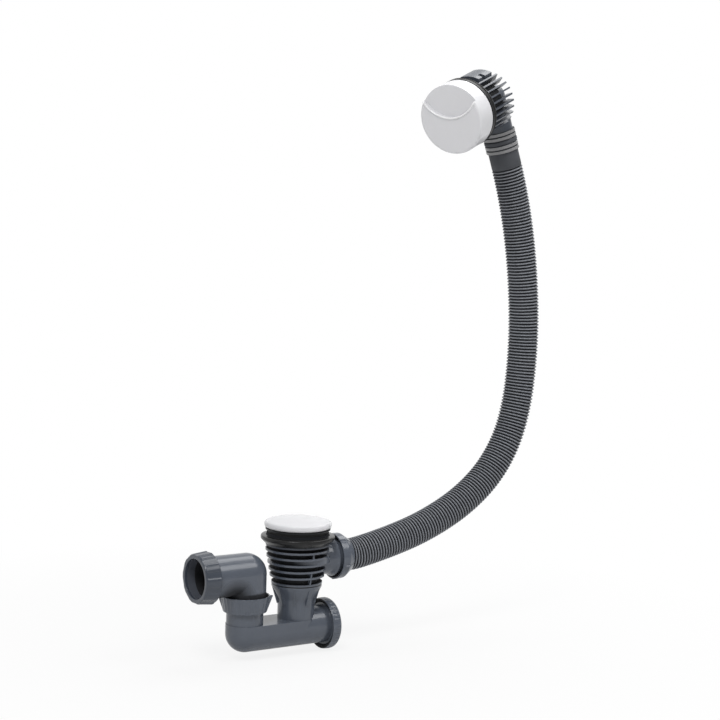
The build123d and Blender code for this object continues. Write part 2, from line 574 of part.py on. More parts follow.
def waste_body():
    neck_bore = SLEEVE_RADIUS + FIT
    core = turned((0, BODY_FLANGE_FOOT), (CORE_TOP_RADIUS, BODY_FLANGE_FOOT), (CORE_FOOT_RADIUS, BODY_FOOT),
                  (0, BODY_FOOT))
    body = core + rod(NECK_RADIUS, BODY_FLANGE_FOOT, NECK_TOP)
    body += rod(BODY_FLANGE_RADIUS, BODY_FLANGE_FOOT, BODY_SHOULDER)
    body += rod(FOOT_RIM_RADIUS, BODY_FOOT, BODY_FOOT + FIN)
    for index in range(FIN_COUNT):
        share = index / (FIN_COUNT - 1)
        middle = FIRST_FIN + share * (LAST_FIN - FIRST_FIN)
        radius = FIRST_FIN_RADIUS + share * (LAST_FIN_RADIUS - FIRST_FIN_RADIUS)
        body += rod(radius, middle - FIN / 2, middle + FIN / 2)
    # One web at the front and one at the back tie the two upper fins together
    fin_step = (FIRST_FIN - LAST_FIN) / (FIN_COUNT - 1)
    fin_taper = (FIRST_FIN_RADIUS - LAST_FIN_RADIUS) / (FIN_COUNT - 1)
    web_reach = FIRST_FIN_RADIUS - fin_taper - FREE
    body += Pos(0, 0, FIRST_FIN - fin_step / 2) * Box(WEB, 2 * web_reach, fin_step)
    # Smooth band between two fins, boss and spigot for the hose
    band = rod(CORE_TOP_RADIUS + BAND_RISE, FIRST_FIN - 2 * fin_step, FIRST_FIN - fin_step)
    body += Pos(BAND_OFFSET, 0, 0) * band
    spigot_axis = along_x(0, SPIGOT_Z)
    body += spigot_axis * rod(BOSS_RADIUS, LEVER_X, BOSS_FLARE_START)
    body += spigot_axis * turned((0, BOSS_FLARE_START), (BOSS_RADIUS, BOSS_FLARE_START),
                                 (BOSS_FLARE_RADIUS, BOSS_END), (0, BOSS_END))
    body += spigot_axis * rod(SPIGOT_RADIUS, BOSS_END, SPIGOT_END)
    # Chamber, neck, trap socket and the way out to the hose
    chamber_foot = SOCKET_TOP + WALL / 2
    chamber = turned((0, BODY_FLANGE_FOOT), (CORE_TOP_RADIUS - WALL, BODY_FLANGE_FOOT),
                     (core_radius(chamber_foot) - WALL, chamber_foot), (0, chamber_foot))
    body -= chamber
    body -= rod(neck_bore, BODY_FLANGE_FOOT, NECK_TOP)
    body -= rod(INLET_SPIGOT_RADIUS + FIT, BODY_FOOT, chamber_foot)
    body -= spigot_axis * rod(SPIGOT_BORE, LEVER_X + BRACKET / 2 + FREE, SPIGOT_END)
    # Bosses for the flange screws, and brackets for the lever's pin
    boss_foot = -GRID_DEPTH - FLANGE_SCREW_LENGTH - WALL
    boss_radius = FLANGE_SCREW_RADIUS + WALL
    for side in (-1, 1):
        place = Pos(0, side * FLANGE_SCREW_CIRCLE, 0)
        rib = Box(2 * FLANGE_SCREW_RADIUS, CORE_TOP_RADIUS - FLANGE_SCREW_CIRCLE, GRID_FOOT - boss_foot)
        rib = Pos(0, side * (CORE_TOP_RADIUS + FLANGE_SCREW_CIRCLE) / 2, (GRID_FOOT + boss_foot) / 2) * rib
        within = turned((0, GRID_FOOT), (neck_bore - FIT, GRID_FOOT), (neck_bore - FIT, BODY_FLANGE_FOOT),
                        (CORE_TOP_RADIUS - WALL / 2, BODY_FLANGE_FOOT),
                        (core_radius(boss_foot) - WALL / 2, boss_foot), (0, boss_foot))
        body += (place * rod(boss_radius, boss_foot, GRID_FOOT) + rib) & within
        body -= place * rod(FLANGE_SCREW_RADIUS + SNUG, boss_foot + WALL - SNUG, GRID_FOOT)
        inner = LEVER_HALF_WIDTH + FREE
        bracket = Box(BRACKET, CORE_TOP_RADIUS - inner, BRACKET)
        bracket = Pos(LEVER_X, side * (CORE_TOP_RADIUS + inner) / 2, LEVER_Z) * bracket
        body += bracket & core
    pin_hole = rod(LEVER_PIN_RADIUS + SNUG, -LEVER_PIN_LENGTH / 2, LEVER_PIN_LENGTH / 2)
    return body - along_y(LEVER_X, LEVER_Z) * pin_hole


# Lift lever, in the place that it has with the plug closed

def lift_lever():
    level = along_y(0, 0)
    hub = level * rod(LEVER_HUB_RADIUS, -LEVER_HALF_WIDTH, LEVER_HALF_WIDTH)
    half_width = STEM_RADIUS
    arm = Pos(-PLUG_ARM / 2, 0, 0) * Box(PLUG_ARM, 2 * half_width, LEVER_ARM)
    tip = Pos(-PLUG_ARM, 0, 0) * (level * rod(LEVER_TIP_RADIUS, -half_width, half_width))
    yoke_face = -CABLE_SIDE + YOKE / 2 + FREE
    pull_width = LEVER_HALF_WIDTH / 2 - yoke_face
    pull = Pos(0, yoke_face + pull_width / 2, PULL_ARM / 2) * Box(2 * LEVER_TIP_RADIUS, pull_width, PULL_ARM)
    knuckle = level * rod(LEVER_TIP_RADIUS, yoke_face, yoke_face + pull_width)
    pin = level * rod(CRANK_PIN_RADIUS, -CABLE_SIDE - YOKE / 2 - FREE, yoke_face)
    lever = hub + arm + tip + pull + Pos(0, 0, PULL_ARM) * (knuckle + pin)
    lever -= level * rod(LEVER_PIN_RADIUS + RUN, -LEVER_HALF_WIDTH, LEVER_HALF_WIDTH)
    return Pos(LEVER_X, 0, LEVER_Z) * (Rot(0, -LEVER_SWING / 2, 0) * lever)


def lever_pin():
    return along_y(LEVER_X, LEVER_Z) * rod(LEVER_PIN_RADIUS, -LEVER_PIN_LENGTH / 2, LEVER_PIN_LENGTH / 2)


# Cable: a yoke has its slot along its X and its wire along -Y

def wire_end(slot_half_length, wire_length):
    slot_half_height = CRANK_PIN_RADIUS + YOKE_PLAY
    outer_length = 2 * (slot_half_length + YOKE_WALL)
    outer_height = 2 * (slot_half_height + YOKE_WALL)
    plate = Box(outer_length, outer_height, YOKE) - Box(2 * slot_half_length, 2 * slot_half_height, YOKE)
    run = Plane(origin=(0, -outer_height / 2, 0), x_dir=(1, 0, 0), z_dir=(0, -1, 0))
    return plate + run * rod(WIRE_RADIUS, -YOKE_WALL / 2, wire_length - outer_height / 2)


def lower_wire():
    sway = PULL_ARM * (1 - math.cos(HALF_SWING)) / 2
    start = LEVER_X - PULL / 2
    end = LOWER_GUIDE_X + GUIDE_LIP + WIRE_INSIDE
    wire = wire_end(sway + CRANK_PIN_RADIUS + YOKE_PLAY, end - start)
    return Plane(origin=(start, -CABLE_SIDE, SPIGOT_Z), x_dir=(0, 0, 1), z_dir=(0, -1, 0)) * wire


def upper_wire():
    sway = CRANK_RADIUS * (1 - math.cos(HALF_TURN)) / 2
    length = UPPER_GUIDE_DEPTH + GUIDE_LIP + WIRE_INSIDE - PULL / 2
    wire = wire_end(sway + CRANK_PIN_RADIUS + YOKE_PLAY, length)
    return HEAD * (Pos(WIRE_SIDE, -PULL / 2, WIRE_DEPTH) * wire)


def cable_guide(outer, hub_x, hub_y):
    """Ring that fills a pipe, with a bar and a hub for the sheath's end, lip at its start."""
    guide = ring(outer, outer - GUIDE_WALL, 0, GUIDE_LENGTH)
    bar = Pos(hub_x, 0, GUIDE_LENGTH / 2) * Box(GUIDE_BAR, 2 * outer, GUIDE_LENGTH)
    guide += bar & rod(outer - GUIDE_WALL / 2, 0, GUIDE_LENGTH)
    place = Pos(hub_x, hub_y, 0)
    guide += place * rod(GUIDE_HUB_RADIUS, 0, GUIDE_LENGTH)
    guide -= place * rod(SHEATH_RADIUS + SNUG, GUIDE_LIP, GUIDE_LENGTH)
    return guide - place * rod(SHEATH_BORE, 0, GUIDE_LIP)


def lower_cable_guide():
    return along_x(LOWER_GUIDE_X, SPIGOT_Z) * cable_guide(SPIGOT_BORE - SNUG, -CABLE_SIDE, 0)


def upper_cable_guide():
    guide = cable_guide(PIPE_BORE - SNUG, WIRE_SIDE, WIRE_DEPTH)
    return NECK * (Pos(0, 0, UPPER_GUIDE_DEPTH) * guide)


def control_cable():
    aside = Vector(0, -CABLE_SIDE, 0)
    start = Vector(LOWER_GUIDE_X + GUIDE_LIP, 0, SPIGOT_Z) + aside
    edges = [Line(start, hose_at(0)[0] + aside)]
    reached = 0.0
    for radius, turn in HOSE_BENDS:
        length = radius * math.radians(turn)
        points = [hose_at(reached + share * length)[0] + aside for share in (0, 0.5, 1)]
        edges.append(ThreePointArc(*points))
        reached += length
    end = hose_at(HOSE_LENGTH + HOSE_CUFF + COLLAR_FOOT_DEPTH - UPPER_GUIDE_DEPTH - GUIDE_LIP)[0]
    edges.append(Line(hose_at(reached)[0] + aside, end + aside))
    route = Wire(edges)
    section = Plane(origin=start, x_dir=(0, 1, 0), z_dir=(1, 0, 0))
    return sweep(section * Circle(SHEATH_RADIUS), route) - sweep(section * Circle(SHEATH_BORE), route)


# Overflow hose

def overflow_hose():
    rings = round(HOSE_LENGTH / HOSE_PITCH)
    half_pitch = HOSE_LENGTH / rings / 2
    waves = []
    for index in range(2 * rings + 1):
        radius = HOSE_CREST if index % 2 else HOSE_ROOT
        waves.append(hose_frame(index * half_pitch) * Circle(radius))
    hose = loft(waves, ruled=True)
    lower_end = hose_frame(0)
    upper_end = hose_frame(HOSE_LENGTH)
    hose += lower_end * rod(HOSE_ROOT, -HOSE_TAIL, 0)
    hose += lower_end * rod(HOSE_FLANGE_RADIUS, -HOSE_TAIL - HOSE_FLANGE, -HOSE_TAIL)
    hose += upper_end * rod(HOSE_CUFF_RADIUS, 0, HOSE_CUFF)
    steps = math.ceil(HOSE_LENGTH / BORE_STEP)
    sections = [hose_frame(HOSE_LENGTH * index / steps) * Circle(HOSE_BORE) for index in range(steps + 1)]
    hose -= loft(sections, ruled=True)
    hose -= lower_end * rod(HOSE_BORE, -HOSE_TAIL - HOSE_FLANGE, 0)
    hose -= upper_end * rod(HOSE_BORE, 0, HOSE_CUFF_FLOOR)
    return hose - upper_end * rod(BARB_RADIUS + FIT, HOSE_CUFF_FLOOR, HOSE_CUFF)


def hose_washer():
    return along_x(0, SPIGOT_Z) * ring(HOSE_FLANGE_RADIUS, SPIGOT_BORE - FIT, SPIGOT_END, HOSE_FLANGE_X)


def hose_nut():
    thread = SPIGOT_RADIUS + FIT
    inner = HOSE_FLANGE_RADIUS + FIT
    mouth = HOSE_ROOT + FREE
    straight = HOSE_NUT_START + HOSE_NUT_STRAIGHT
    lip = HOSE_FLANGE_X + HOSE_FLANGE
    end = lip + HOSE_NUT_LIP
    step = SPIGOT_END + FIT
    nut = turned((thread, HOSE_NUT_START), (HOSE_NUT_RADIUS, HOSE_NUT_START), (HOSE_NUT_RADIUS, straight),
                 (HOSE_NUT_MOUTH_RADIUS, end), (mouth, end), (mouth, lip), (inner, lip), (inner, step),
                 (thread, step))
    nut += ribs_around(HOSE_NUT_RIBS, thread + WALL / 2, HOSE_NUT_RADIUS + WEB / 2, WEB,
                       HOSE_NUT_START, straight, first=90 - 180 / HOSE_NUT_RIBS)
    return along_x(0, SPIGOT_Z) * nut


# Overflow head, in its own frame

def overflow_body():
    body = rod(DRUM_RADIUS, DRUM_BACK, DRUM_FRONT) + rod(HEAD_FLANGE_RADIUS, DRUM_FRONT, HEAD_FRONT)
    body += round_ended(PIPE_RADIUS, 0, DRUM_BACK)
    neck = Plane(origin=(0, 0, 0), x_dir=(1, 0, 0), z_dir=(0, -1, 0))
    body += neck * rod(PIPE_RADIUS - SNUG, 0, COLLAR_TOP)
    body += neck * rod(COLLAR_RADIUS, COLLAR_TOP, COLLAR_FOOT_DEPTH)
    barb_end = COLLAR_FOOT_DEPTH + HOSE_CUFF - HOSE_CUFF_FLOOR - FREE
    body += neck * rod(BARB_RADIUS, COLLAR_FOOT_DEPTH, barb_end)
    ridge_step = (COLLAR_LENGTH - RIDGE) / (RIDGE_COUNT - 1)
    for index in range(RIDGE_COUNT):
        start = COLLAR_TOP + index * ridge_step
        body += neck * rod(RIDGE_RADIUS, start, start + RIDGE)
    # Ribs stand off the tab and the neck
    clear = math.degrees(math.asin(TAB_WIDTH / 2 / RIB_RADIUS))
    foot = math.degrees(math.asin(PIPE_RADIUS / RIB_RADIUS))
    pitch = 360 / RIB_COUNT
    blade = Pos((DRUM_BORE + RIB_RADIUS) / 2 + WALL / 4, 0, (DRUM_BACK - RIB_TOOTH + DRUM_FRONT) / 2)
    blade = blade * Box(RIB_RADIUS - DRUM_BORE - WALL / 2, RIB, DRUM_LENGTH + RIB_TOOTH)
    ribs = []
    for index in range(RIB_COUNT):
        angle = (index + 0.5) * pitch
        from_tab = abs(angle - 90 - TAB_TURN)
        from_foot = abs(angle - 270)
        if from_tab > clear and from_foot > foot:
            ribs.append(Rot(0, 0, angle) * blade)
    body += ribs
    # Curved tab with a slot through its side
    tab_radius = RIB_RADIUS + TAB_RISE
    tab_start = DRUM_BACK - TAB_BACK
    tab = ring(tab_radius, DRUM_BORE + WALL / 2, tab_start, tab_start + TAB_LENGTH)
    tab_middle = tab_start + TAB_LENGTH / 2
    tab = tab & Pos(0, tab_radius / 2, tab_middle) * Box(TAB_WIDTH, tab_radius, TAB_LENGTH)
    slot = Pos(TAB_WIDTH / 2, tab_radius, tab_middle + TAB_SLOT / 2)
    body += Rot(0, 0, TAB_TURN) * (tab - slot * Box(2 * TAB_SLOT, 2 * RIB_HEIGHT, TAB_SLOT))
    # Hollow of the drum, the pipe and the neck
    body -= rod(DRUM_BORE, DRUM_BACK + WALL, HEAD_FRONT)
    body -= round_ended(PIPE_BORE + SNUG, 0, DRUM_BACK + WALL)
    body -= neck * rod(PIPE_BORE, 0, COLLAR_FOOT_DEPTH - WALL)
    body -= neck * rod(BARB_BORE, 0, barb_end)
    # Bar that carries the spindle's rear end, and bosses for the screws
    bar = Pos(0, 0, DRUM_BACK + WALL / 2) * Box(2 * DRUM_BORE, 2 * BEARING_RADIUS, WALL)
    body += bar & rod(DRUM_BORE, DRUM_BACK, DRUM_BACK + WALL)
    body -= rod(SPINDLE_RADIUS + RUN, DRUM_BACK, DRUM_BACK + WALL)
    boss_back = GASKET_FRONT - HEAD_SCREW_LENGTH
    for side in (-1, 1):
        place = Pos(side * HEAD_SCREW_CIRCLE, 0, 0)
        boss = place * rod(HEAD_BOSS_RADIUS, boss_back - WALL, HEAD_FRONT)
        body += boss & rod(DRUM_RADIUS, DRUM_BACK, HEAD_FRONT)
        body -= place * rod(HEAD_SCREW_RADIUS + SNUG, boss_back, HEAD_FRONT)
    return HEAD * body


def overflow_gasket():
    return HEAD * ring(GASKET_RADIUS, DRUM_BORE + FIT, HEAD_FRONT, GASKET_FRONT)


def front_plate():
    plate = ring(KNOB_RADIUS, KNOB_RADIUS - PLATE_RING, GASKET_FRONT, PLATE_FRONT)
    reach = KNOB_RADIUS - PLATE_RING / 2
    middle = (GASKET_FRONT + PLATE_FRONT) / 2
    spoke = 2 * HEAD_SCREW_HEAD_RADIUS + FIT
    cross = Pos(0, 0, middle) * (Box(2 * reach, spoke, PLATE) + Box(spoke, 2 * reach, PLATE))
    plate += cross & rod(reach, GASKET_FRONT, PLATE_FRONT)
    plate += rod(BEARING_RADIUS, PLATE_FRONT - BEARING_LENGTH, PLATE_FRONT)
    plate -= rod(SPINDLE_RADIUS + RUN, PLATE_FRONT - BEARING_LENGTH, PLATE_FRONT)
    for side in (-1, 1):
        plate -= Pos(side * HEAD_SCREW_CIRCLE, 0, 0) * rod(HEAD_SCREW_RADIUS + FIT, GASKET_FRONT, PLATE_FRONT)
    return HEAD * plate


def overflow_screws():
    screw = cross_head_screw(HEAD_SCREW_RADIUS, HEAD_SCREW_LENGTH, HEAD_SCREW_HEAD_RADIUS, HEAD_SCREW_HEAD)
    return [HEAD * (Pos(side * HEAD_SCREW_CIRCLE, 0, PLATE_FRONT) * screw) for side in (-1, 1)]


def rounded_drum(front):
    """Knob's outer drum up to one face, with a round front edge and a small round at the back."""
    drum = rod(KNOB_RADIUS, KNOB_BACK, front)
    edges = drum.edges().filter_by(GeomType.CIRCLE).sort_by(Axis.Z)
    drum = fillet(edges[-1], KNOB_ROUND)
    edges = drum.edges().filter_by(GeomType.CIRCLE).sort_by(Axis.Z)
    return fillet(edges[0], KNOB_BACK_ROUND)


def knob():
    step_face = HEAD_REACH - KNOB_STEP
    ceiling = step_face - WALL
    step = Pos(0, KNOB_STEP_HEIGHT + KNOB_STEP_RADIUS, 0) * rod(KNOB_STEP_RADIUS, step_face, HEAD_REACH)
    shell = rounded_drum(HEAD_REACH) - Rot(0, 0, KNOB_STEP_TURN) * step + rounded_drum(step_face)
    shell -= rod(KNOB_RADIUS - WALL, KNOB_BACK, ceiling)
    boss_back = PLATE_FRONT + FREE + SPINDLE_COLLAR
    shell += rod(KNOB_BOSS_RADIUS, boss_back, ceiling)
    return HEAD * (shell - rod(SPINDLE_RADIUS + SNUG, boss_back, ceiling))


def knob_spindle():
    front = HEAD_REACH - KNOB_STEP - WALL - SNUG
    spindle = rod(SPINDLE_RADIUS, CRANK_BACK + CRANK_FLOOR, front)
    spindle += rod(SPINDLE_COLLAR_RADIUS, PLATE_FRONT + FREE, PLATE_FRONT + FREE + SPINDLE_COLLAR)
    return HEAD * spindle


def spindle_clip():
    front = PLATE_FRONT - BEARING_LENGTH - FREE
    clip = ring(CLIP_RADIUS, SPINDLE_RADIUS + SNUG, front - CLIP, front)
    return HEAD * (clip - Pos(0, -CLIP_RADIUS, front - CLIP / 2) * Box(SPINDLE_RADIUS, CLIP_RADIUS, CLIP))


def cable_crank():
    crank = rod(CRANK_DISC_RADIUS, CRANK_BACK, CRANK_BACK + CRANK)
    crank -= rod(SPINDLE_RADIUS + SNUG, CRANK_BACK + CRANK_FLOOR, CRANK_BACK + CRANK)
    pin = Pos(CRANK_RADIUS, 0, 0) * rod(CRANK_PIN_RADIUS, WIRE_DEPTH - YOKE / 2 - FREE, CRANK_BACK)
    return HEAD * (Rot(0, 0, -KNOB_TURN / 2) * (crank + pin))


# Trap

def inlet_seal():
    return ring(COLLAR_RIM_RADIUS - FIT, INLET_SPIGOT_RADIUS + FIT, COLLAR_RIM_TOP, BODY_FOOT)


def trap_run(radius, end, roof):
    """Round-ended bar along the trap's tube, with a level roof and upright sides from riser to inlet."""
    bar = along_x(0, TUBE_Z) * round_ended(radius, RISER_X, end)
    above = Box(radius - RISER_X, 2 * radius, radius)
    bar -= Pos((RISER_X - radius) / 2, 0, roof + radius / 2) * above
    plan = SlotCenterToCenter(RISER_REACH, 2 * radius)
    return bar + extrude(Pos(RISER_X / 2, 0, TUBE_Z) * plan, roof - TUBE_Z)


def trap_body():
    tube_axis = along_x(0, TUBE_Z)
    riser = Pos(RISER_X, 0, 0)
    rim_foot = COLLAR_RIM_TOP - COLLAR_RIM
    spigot_top = SOCKET_TOP - FREE
    body = turned((0, COLLAR_RIM_TOP), (COLLAR_RIM_RADIUS, COLLAR_RIM_TOP), (COLLAR_RIM_RADIUS, rim_foot),
                  (INLET_RADIUS, COLLAR_FOOT), (0, COLLAR_FOOT))
    body += rod(INLET_SPIGOT_RADIUS, COLLAR_RIM_TOP, spigot_top) + rod(INLET_RADIUS, TUBE_Z, COLLAR_FOOT)
    gusset_foot = COLLAR_FOOT - GUSSET_DROP
    taper = turned((0, rim_foot), (COLLAR_RIM_RADIUS, rim_foot), (INLET_RADIUS + GUSSET, gusset_foot),
                   (0, gusset_foot))
    gussets = ribs_around(GUSSET_COUNT, INLET_RADIUS - WALL / 2, COLLAR_RIM_RADIUS, GUSSET,
                          gusset_foot, rim_foot, first=180 / GUSSET_COUNT)
    body += [gusset & taper for gusset in gussets]
    body += trap_run(TUBE_RADIUS, CAP_THREAD_START, ROOF_TOP)
    body += tube_axis * rod(CAP_THREAD_RADIUS, CAP_THREAD_START, CAP_REACH)
    body += riser * rod(RISER_RADIUS, TUBE_Z, RISER_FLANGE_TOP)
    body += riser * rod(ELBOW_RADIUS, RISER_NUT_LEDGE, RISER_FLANGE_TOP)
    # The upright bores are a little narrower than the tube's
    body -= trap_run(TUBE_BORE, CAP_REACH, ROOF_CEILING)
    body -= rod(TUBE_BORE - SNUG, TUBE_Z, spigot_top)
    return body - riser * rod(TUBE_BORE - SNUG, TUBE_Z, RISER_FLANGE_TOP)


def cap_seal():
    return along_x(0, TUBE_Z) * ring(CAP_THREAD_RADIUS, TUBE_BORE + FIT, CAP_REACH, CAP_INSIDE)


def cleaning_cap():
    face = CAP_INSIDE + CAP_FACE
    rim = CAP_RADIUS - WALL / 2
    thread = CAP_THREAD_RADIUS + FIT
    cap = turned((0, CAP_INSIDE), (thread, CAP_INSIDE), (thread, CAP_START), (CAP_RADIUS, CAP_START),
                 (CAP_RADIUS, face - WALL / 2), (rim, face), (rim / 2, face + CAP_DOME), (0, face + CAP_DOME))
    cap += ribs_around(CAP_FLUTES, CAP_RADIUS - WALL / 2, CAP_FLUTE_RADIUS, CAP_FLUTE_WIDTH,
                       CAP_START + CAP_FLUTE_WIDTH, face - WALL)
    return along_x(0, TUBE_Z) * cap


# Riser union, elbow and outlet

def riser_seal():
    return Pos(RISER_X, 0, 0) * ring(ELBOW_RADIUS, ELBOW_BORE + FIT, RISER_FLANGE_TOP, RISER_SEAL_TOP)


def riser_nut():
    thread = UNION_RADIUS
    mouth = RISER_RADIUS + FIT
    nut = turned((thread, RISER_NUT_TOP), (RISER_NUT_TOP_RADIUS, RISER_NUT_TOP),
                 (RISER_NUT_FOOT_RADIUS, RISER_NUT_FOOT), (mouth, RISER_NUT_FOOT), (mouth, RISER_NUT_LEDGE),
                 (thread, RISER_NUT_LEDGE))
    # Flutes follow the nut's taper
    flute_foot = RISER_NUT_FOOT + FIN
    flutes = turned((thread, RISER_NUT_TOP), (RISER_NUT_TOP_RADIUS + RISER_NUT_FLUTE, RISER_NUT_TOP),
                    (RISER_NUT_FOOT_RADIUS + RISER_NUT_FLUTE, flute_foot), (thread, flute_foot))
    blades = ribs_around(RISER_NUT_FLUTES, thread, RISER_NUT_TOP_RADIUS + WALL, GUSSET,
                         RISER_NUT_FOOT, RISER_NUT_TOP)
    nut += [blade & flutes for blade in blades]
    lug_taper = turned((thread, RISER_NUT_TOP), (RISER_NUT_TOP_RADIUS + RISER_NUT_LUG, RISER_NUT_TOP),
                       (RISER_NUT_FOOT_RADIUS, RISER_NUT_FOOT), (thread, RISER_NUT_FOOT))
    lugs = ribs_around(2, thread, RISER_NUT_TOP_RADIUS + RISER_NUT_LUG + WALL, RISER_NUT_LUG_WIDTH,
                       RISER_NUT_FOOT, RISER_NUT_TOP, first=RISER_NUT_LUG_ANGLE)
    nut += [lug & lug_taper for lug in lugs]
    return Pos(RISER_X, 0, 0) * nut


def elbow():
    riser = Pos(RISER_X, 0, 0)
    outlet = along_x(0, ELBOW_Z)
    body = outlet * round_ended(ELBOW_RADIUS, RISER_X, ELBOW_END)
    body += riser * rod(ELBOW_RADIUS - SNUG, RISER_SEAL_TOP, ELBOW_Z)
    body -= outlet * round_ended(ELBOW_BORE + SNUG, RISER_X, ELBOW_END)
    body -= riser * rod(ELBOW_BORE, RISER_SEAL_TOP, ELBOW_Z)
    return body - outlet * rod(PIPE_SOCKET_RADIUS, ELBOW_END, ELBOW_END + PIPE_SOCKET_DEPTH)


def outlet_seal():
    return along_x(0, ELBOW_Z) * ring(ELBOW_RADIUS, PIPE_SOCKET_RADIUS, OUTLET_SEAL_X, ELBOW_END)


def outlet_friction_ring():
    return along_x(0, ELBOW_Z) * ring(ELBOW_RADIUS, PIPE_SOCKET_RADIUS, OUTLET_LIP_X, OUTLET_SEAL_X)


def outlet_nut():
    thread = UNION_RADIUS
    nut = turned((thread, OUTLET_NUT_START), (OUTLET_NUT_RADIUS, OUTLET_NUT_START),
                 (OUTLET_NUT_MOUTH_RADIUS, OUTLET_NUT_END), (PIPE_PASS_RADIUS, OUTLET_NUT_END),
                 (PIPE_PASS_RADIUS, OUTLET_LIP_X), (thread, OUTLET_LIP_X))
    lobe_end = OUTLET_NUT_END + FIN
    lobes = turned((thread, OUTLET_NUT_START), (OUTLET_NUT_RADIUS + OUTLET_NUT_LOBE, OUTLET_NUT_START),
                   (OUTLET_NUT_MOUTH_RADIUS + OUTLET_NUT_LOBE, lobe_end), (thread, lobe_end))
    blades = ribs_around(OUTLET_NUT_LOBES, thread, OUTLET_NUT_RADIUS + WALL, OUTLET_NUT_LOBE_WIDTH,
                         OUTLET_NUT_END, OUTLET_NUT_START)
    nut += [blade & lobes for blade in blades]
    return along_x(0, ELBOW_Z) * nut


PIECES = [
    plug_cap, plug_seal, plug_stem, stem_screw, stem_lock_nut,
    waste_flange, flange_screws, upper_gasket, lip_gasket, waste_body,
    lift_lever, lever_pin, lower_wire, upper_wire, lower_cable_guide, upper_cable_guide, control_cable,
    overflow_hose, hose_washer, hose_nut,
    overflow_body, overflow_gasket, front_plate, overflow_screws,
    knob, knob_spindle, spindle_clip, cable_crank,
    inlet_seal, trap_body, cap_seal, cleaning_cap,
    riser_seal, riser_nut, elbow, outlet_seal, outlet_friction_ring, outlet_nut,
]

os.makedirs("parts", exist_ok=True)
for piece in PIECES:
    made = piece()
    solids = Compound(children=made) if isinstance(made, list) else made
    export_step(solids, "parts/" + piece.__name__ + ".step")
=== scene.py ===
import json
import math

import bmesh
import bpy
import numpy as np
from mathutils import Matrix, Vector

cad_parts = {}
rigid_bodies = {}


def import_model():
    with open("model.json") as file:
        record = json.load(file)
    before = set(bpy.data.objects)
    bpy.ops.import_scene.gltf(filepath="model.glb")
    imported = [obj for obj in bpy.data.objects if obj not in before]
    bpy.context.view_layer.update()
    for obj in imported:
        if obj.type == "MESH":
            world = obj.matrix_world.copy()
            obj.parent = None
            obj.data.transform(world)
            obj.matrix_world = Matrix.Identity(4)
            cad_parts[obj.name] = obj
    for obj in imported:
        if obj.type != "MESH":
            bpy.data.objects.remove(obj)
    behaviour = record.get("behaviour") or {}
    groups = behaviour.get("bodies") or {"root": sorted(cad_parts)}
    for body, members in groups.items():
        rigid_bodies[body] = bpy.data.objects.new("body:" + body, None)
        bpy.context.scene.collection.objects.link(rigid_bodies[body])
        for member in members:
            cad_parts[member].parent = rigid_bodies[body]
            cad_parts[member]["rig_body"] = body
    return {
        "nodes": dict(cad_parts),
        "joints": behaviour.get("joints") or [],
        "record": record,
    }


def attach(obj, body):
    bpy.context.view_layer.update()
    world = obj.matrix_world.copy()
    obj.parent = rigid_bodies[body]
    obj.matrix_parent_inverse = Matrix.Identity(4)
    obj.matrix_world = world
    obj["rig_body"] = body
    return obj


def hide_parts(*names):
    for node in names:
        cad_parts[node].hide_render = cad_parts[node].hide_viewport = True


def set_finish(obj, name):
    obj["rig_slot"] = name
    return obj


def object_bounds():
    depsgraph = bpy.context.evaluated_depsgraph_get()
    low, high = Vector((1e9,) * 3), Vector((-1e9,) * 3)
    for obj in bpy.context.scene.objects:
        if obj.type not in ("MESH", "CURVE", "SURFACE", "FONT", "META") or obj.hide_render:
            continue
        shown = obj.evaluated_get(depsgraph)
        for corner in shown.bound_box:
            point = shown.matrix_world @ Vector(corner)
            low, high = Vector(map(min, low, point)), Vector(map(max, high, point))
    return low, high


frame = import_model()
CAD_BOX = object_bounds()
NODES = frame["nodes"]
JOINTS = {joint["name"]: joint for joint in frame["joints"]}
SLOTS = {part["node"]: part["material_slot"] for part in frame["record"]["subparts"]}

MM = 0.001
TAU = 2 * math.pi
ROUND_STEPS = 6
POLE_MERGE = 1e-7
SOLID_MERGE = 1e-6
FLAT_ANGLE = 0.3
BEVEL_ANGLE = 28.0
BEVEL_STEPS = 2
ALL_SMOOTH = 180.0


# Surfaces from grids of points

def finished_mesh(piece_mesh, work, sharp):
    """Closes the work on a mesh: faces outward, smooth apart from edges sharper than an angle in degrees."""
    bmesh.ops.recalc_face_normals(work, faces=work.faces)
    work.to_mesh(piece_mesh)
    work.free()
    piece_mesh.polygons.foreach_set("use_smooth", np.ones(len(piece_mesh.polygons), bool))
    piece_mesh.set_sharp_from_angle(angle=math.radians(sharp))
    piece = bpy.data.objects.new(piece_mesh.name, piece_mesh)
    bpy.context.scene.collection.objects.link(piece)
    return piece


def grid_piece(name, points, wrap_rows=False, wrap_columns=True, sharp=40.0, shade=None):
    """New piece whose faces join neighbouring points of a (rows, columns, 3) grid in millimetres.

    A row or column may close on itself. Points that fall together, as at a pole, become one.
    Shade is a number for each row, kept on the points for a material to read.
    """
    rows, columns = points.shape[:2]
    index = np.arange(rows * columns).reshape(rows, columns)
    if wrap_rows:
        index = np.vstack([index, index[:1]])
    if wrap_columns:
        index = np.hstack([index, index[:, :1]])
    quads = np.stack([index[:-1, :-1], index[:-1, 1:], index[1:, 1:], index[1:, :-1]], axis=-1).reshape(-1, 4)
    mesh = bpy.data.meshes.new(name)
    mesh.from_pydata((points.reshape(-1, 3) * MM).tolist(), [], quads.tolist())
    if shade is not None:
        kept = mesh.attributes.new("shade", "FLOAT", "POINT")
        kept.data.foreach_set("value", np.repeat(shade, columns).astype(np.float32))
    work = bmesh.new()
    work.from_mesh(mesh)
    bmesh.ops.remove_doubles(work, verts=work.verts, dist=POLE_MERGE)
    return finished_mesh(mesh, work, sharp)


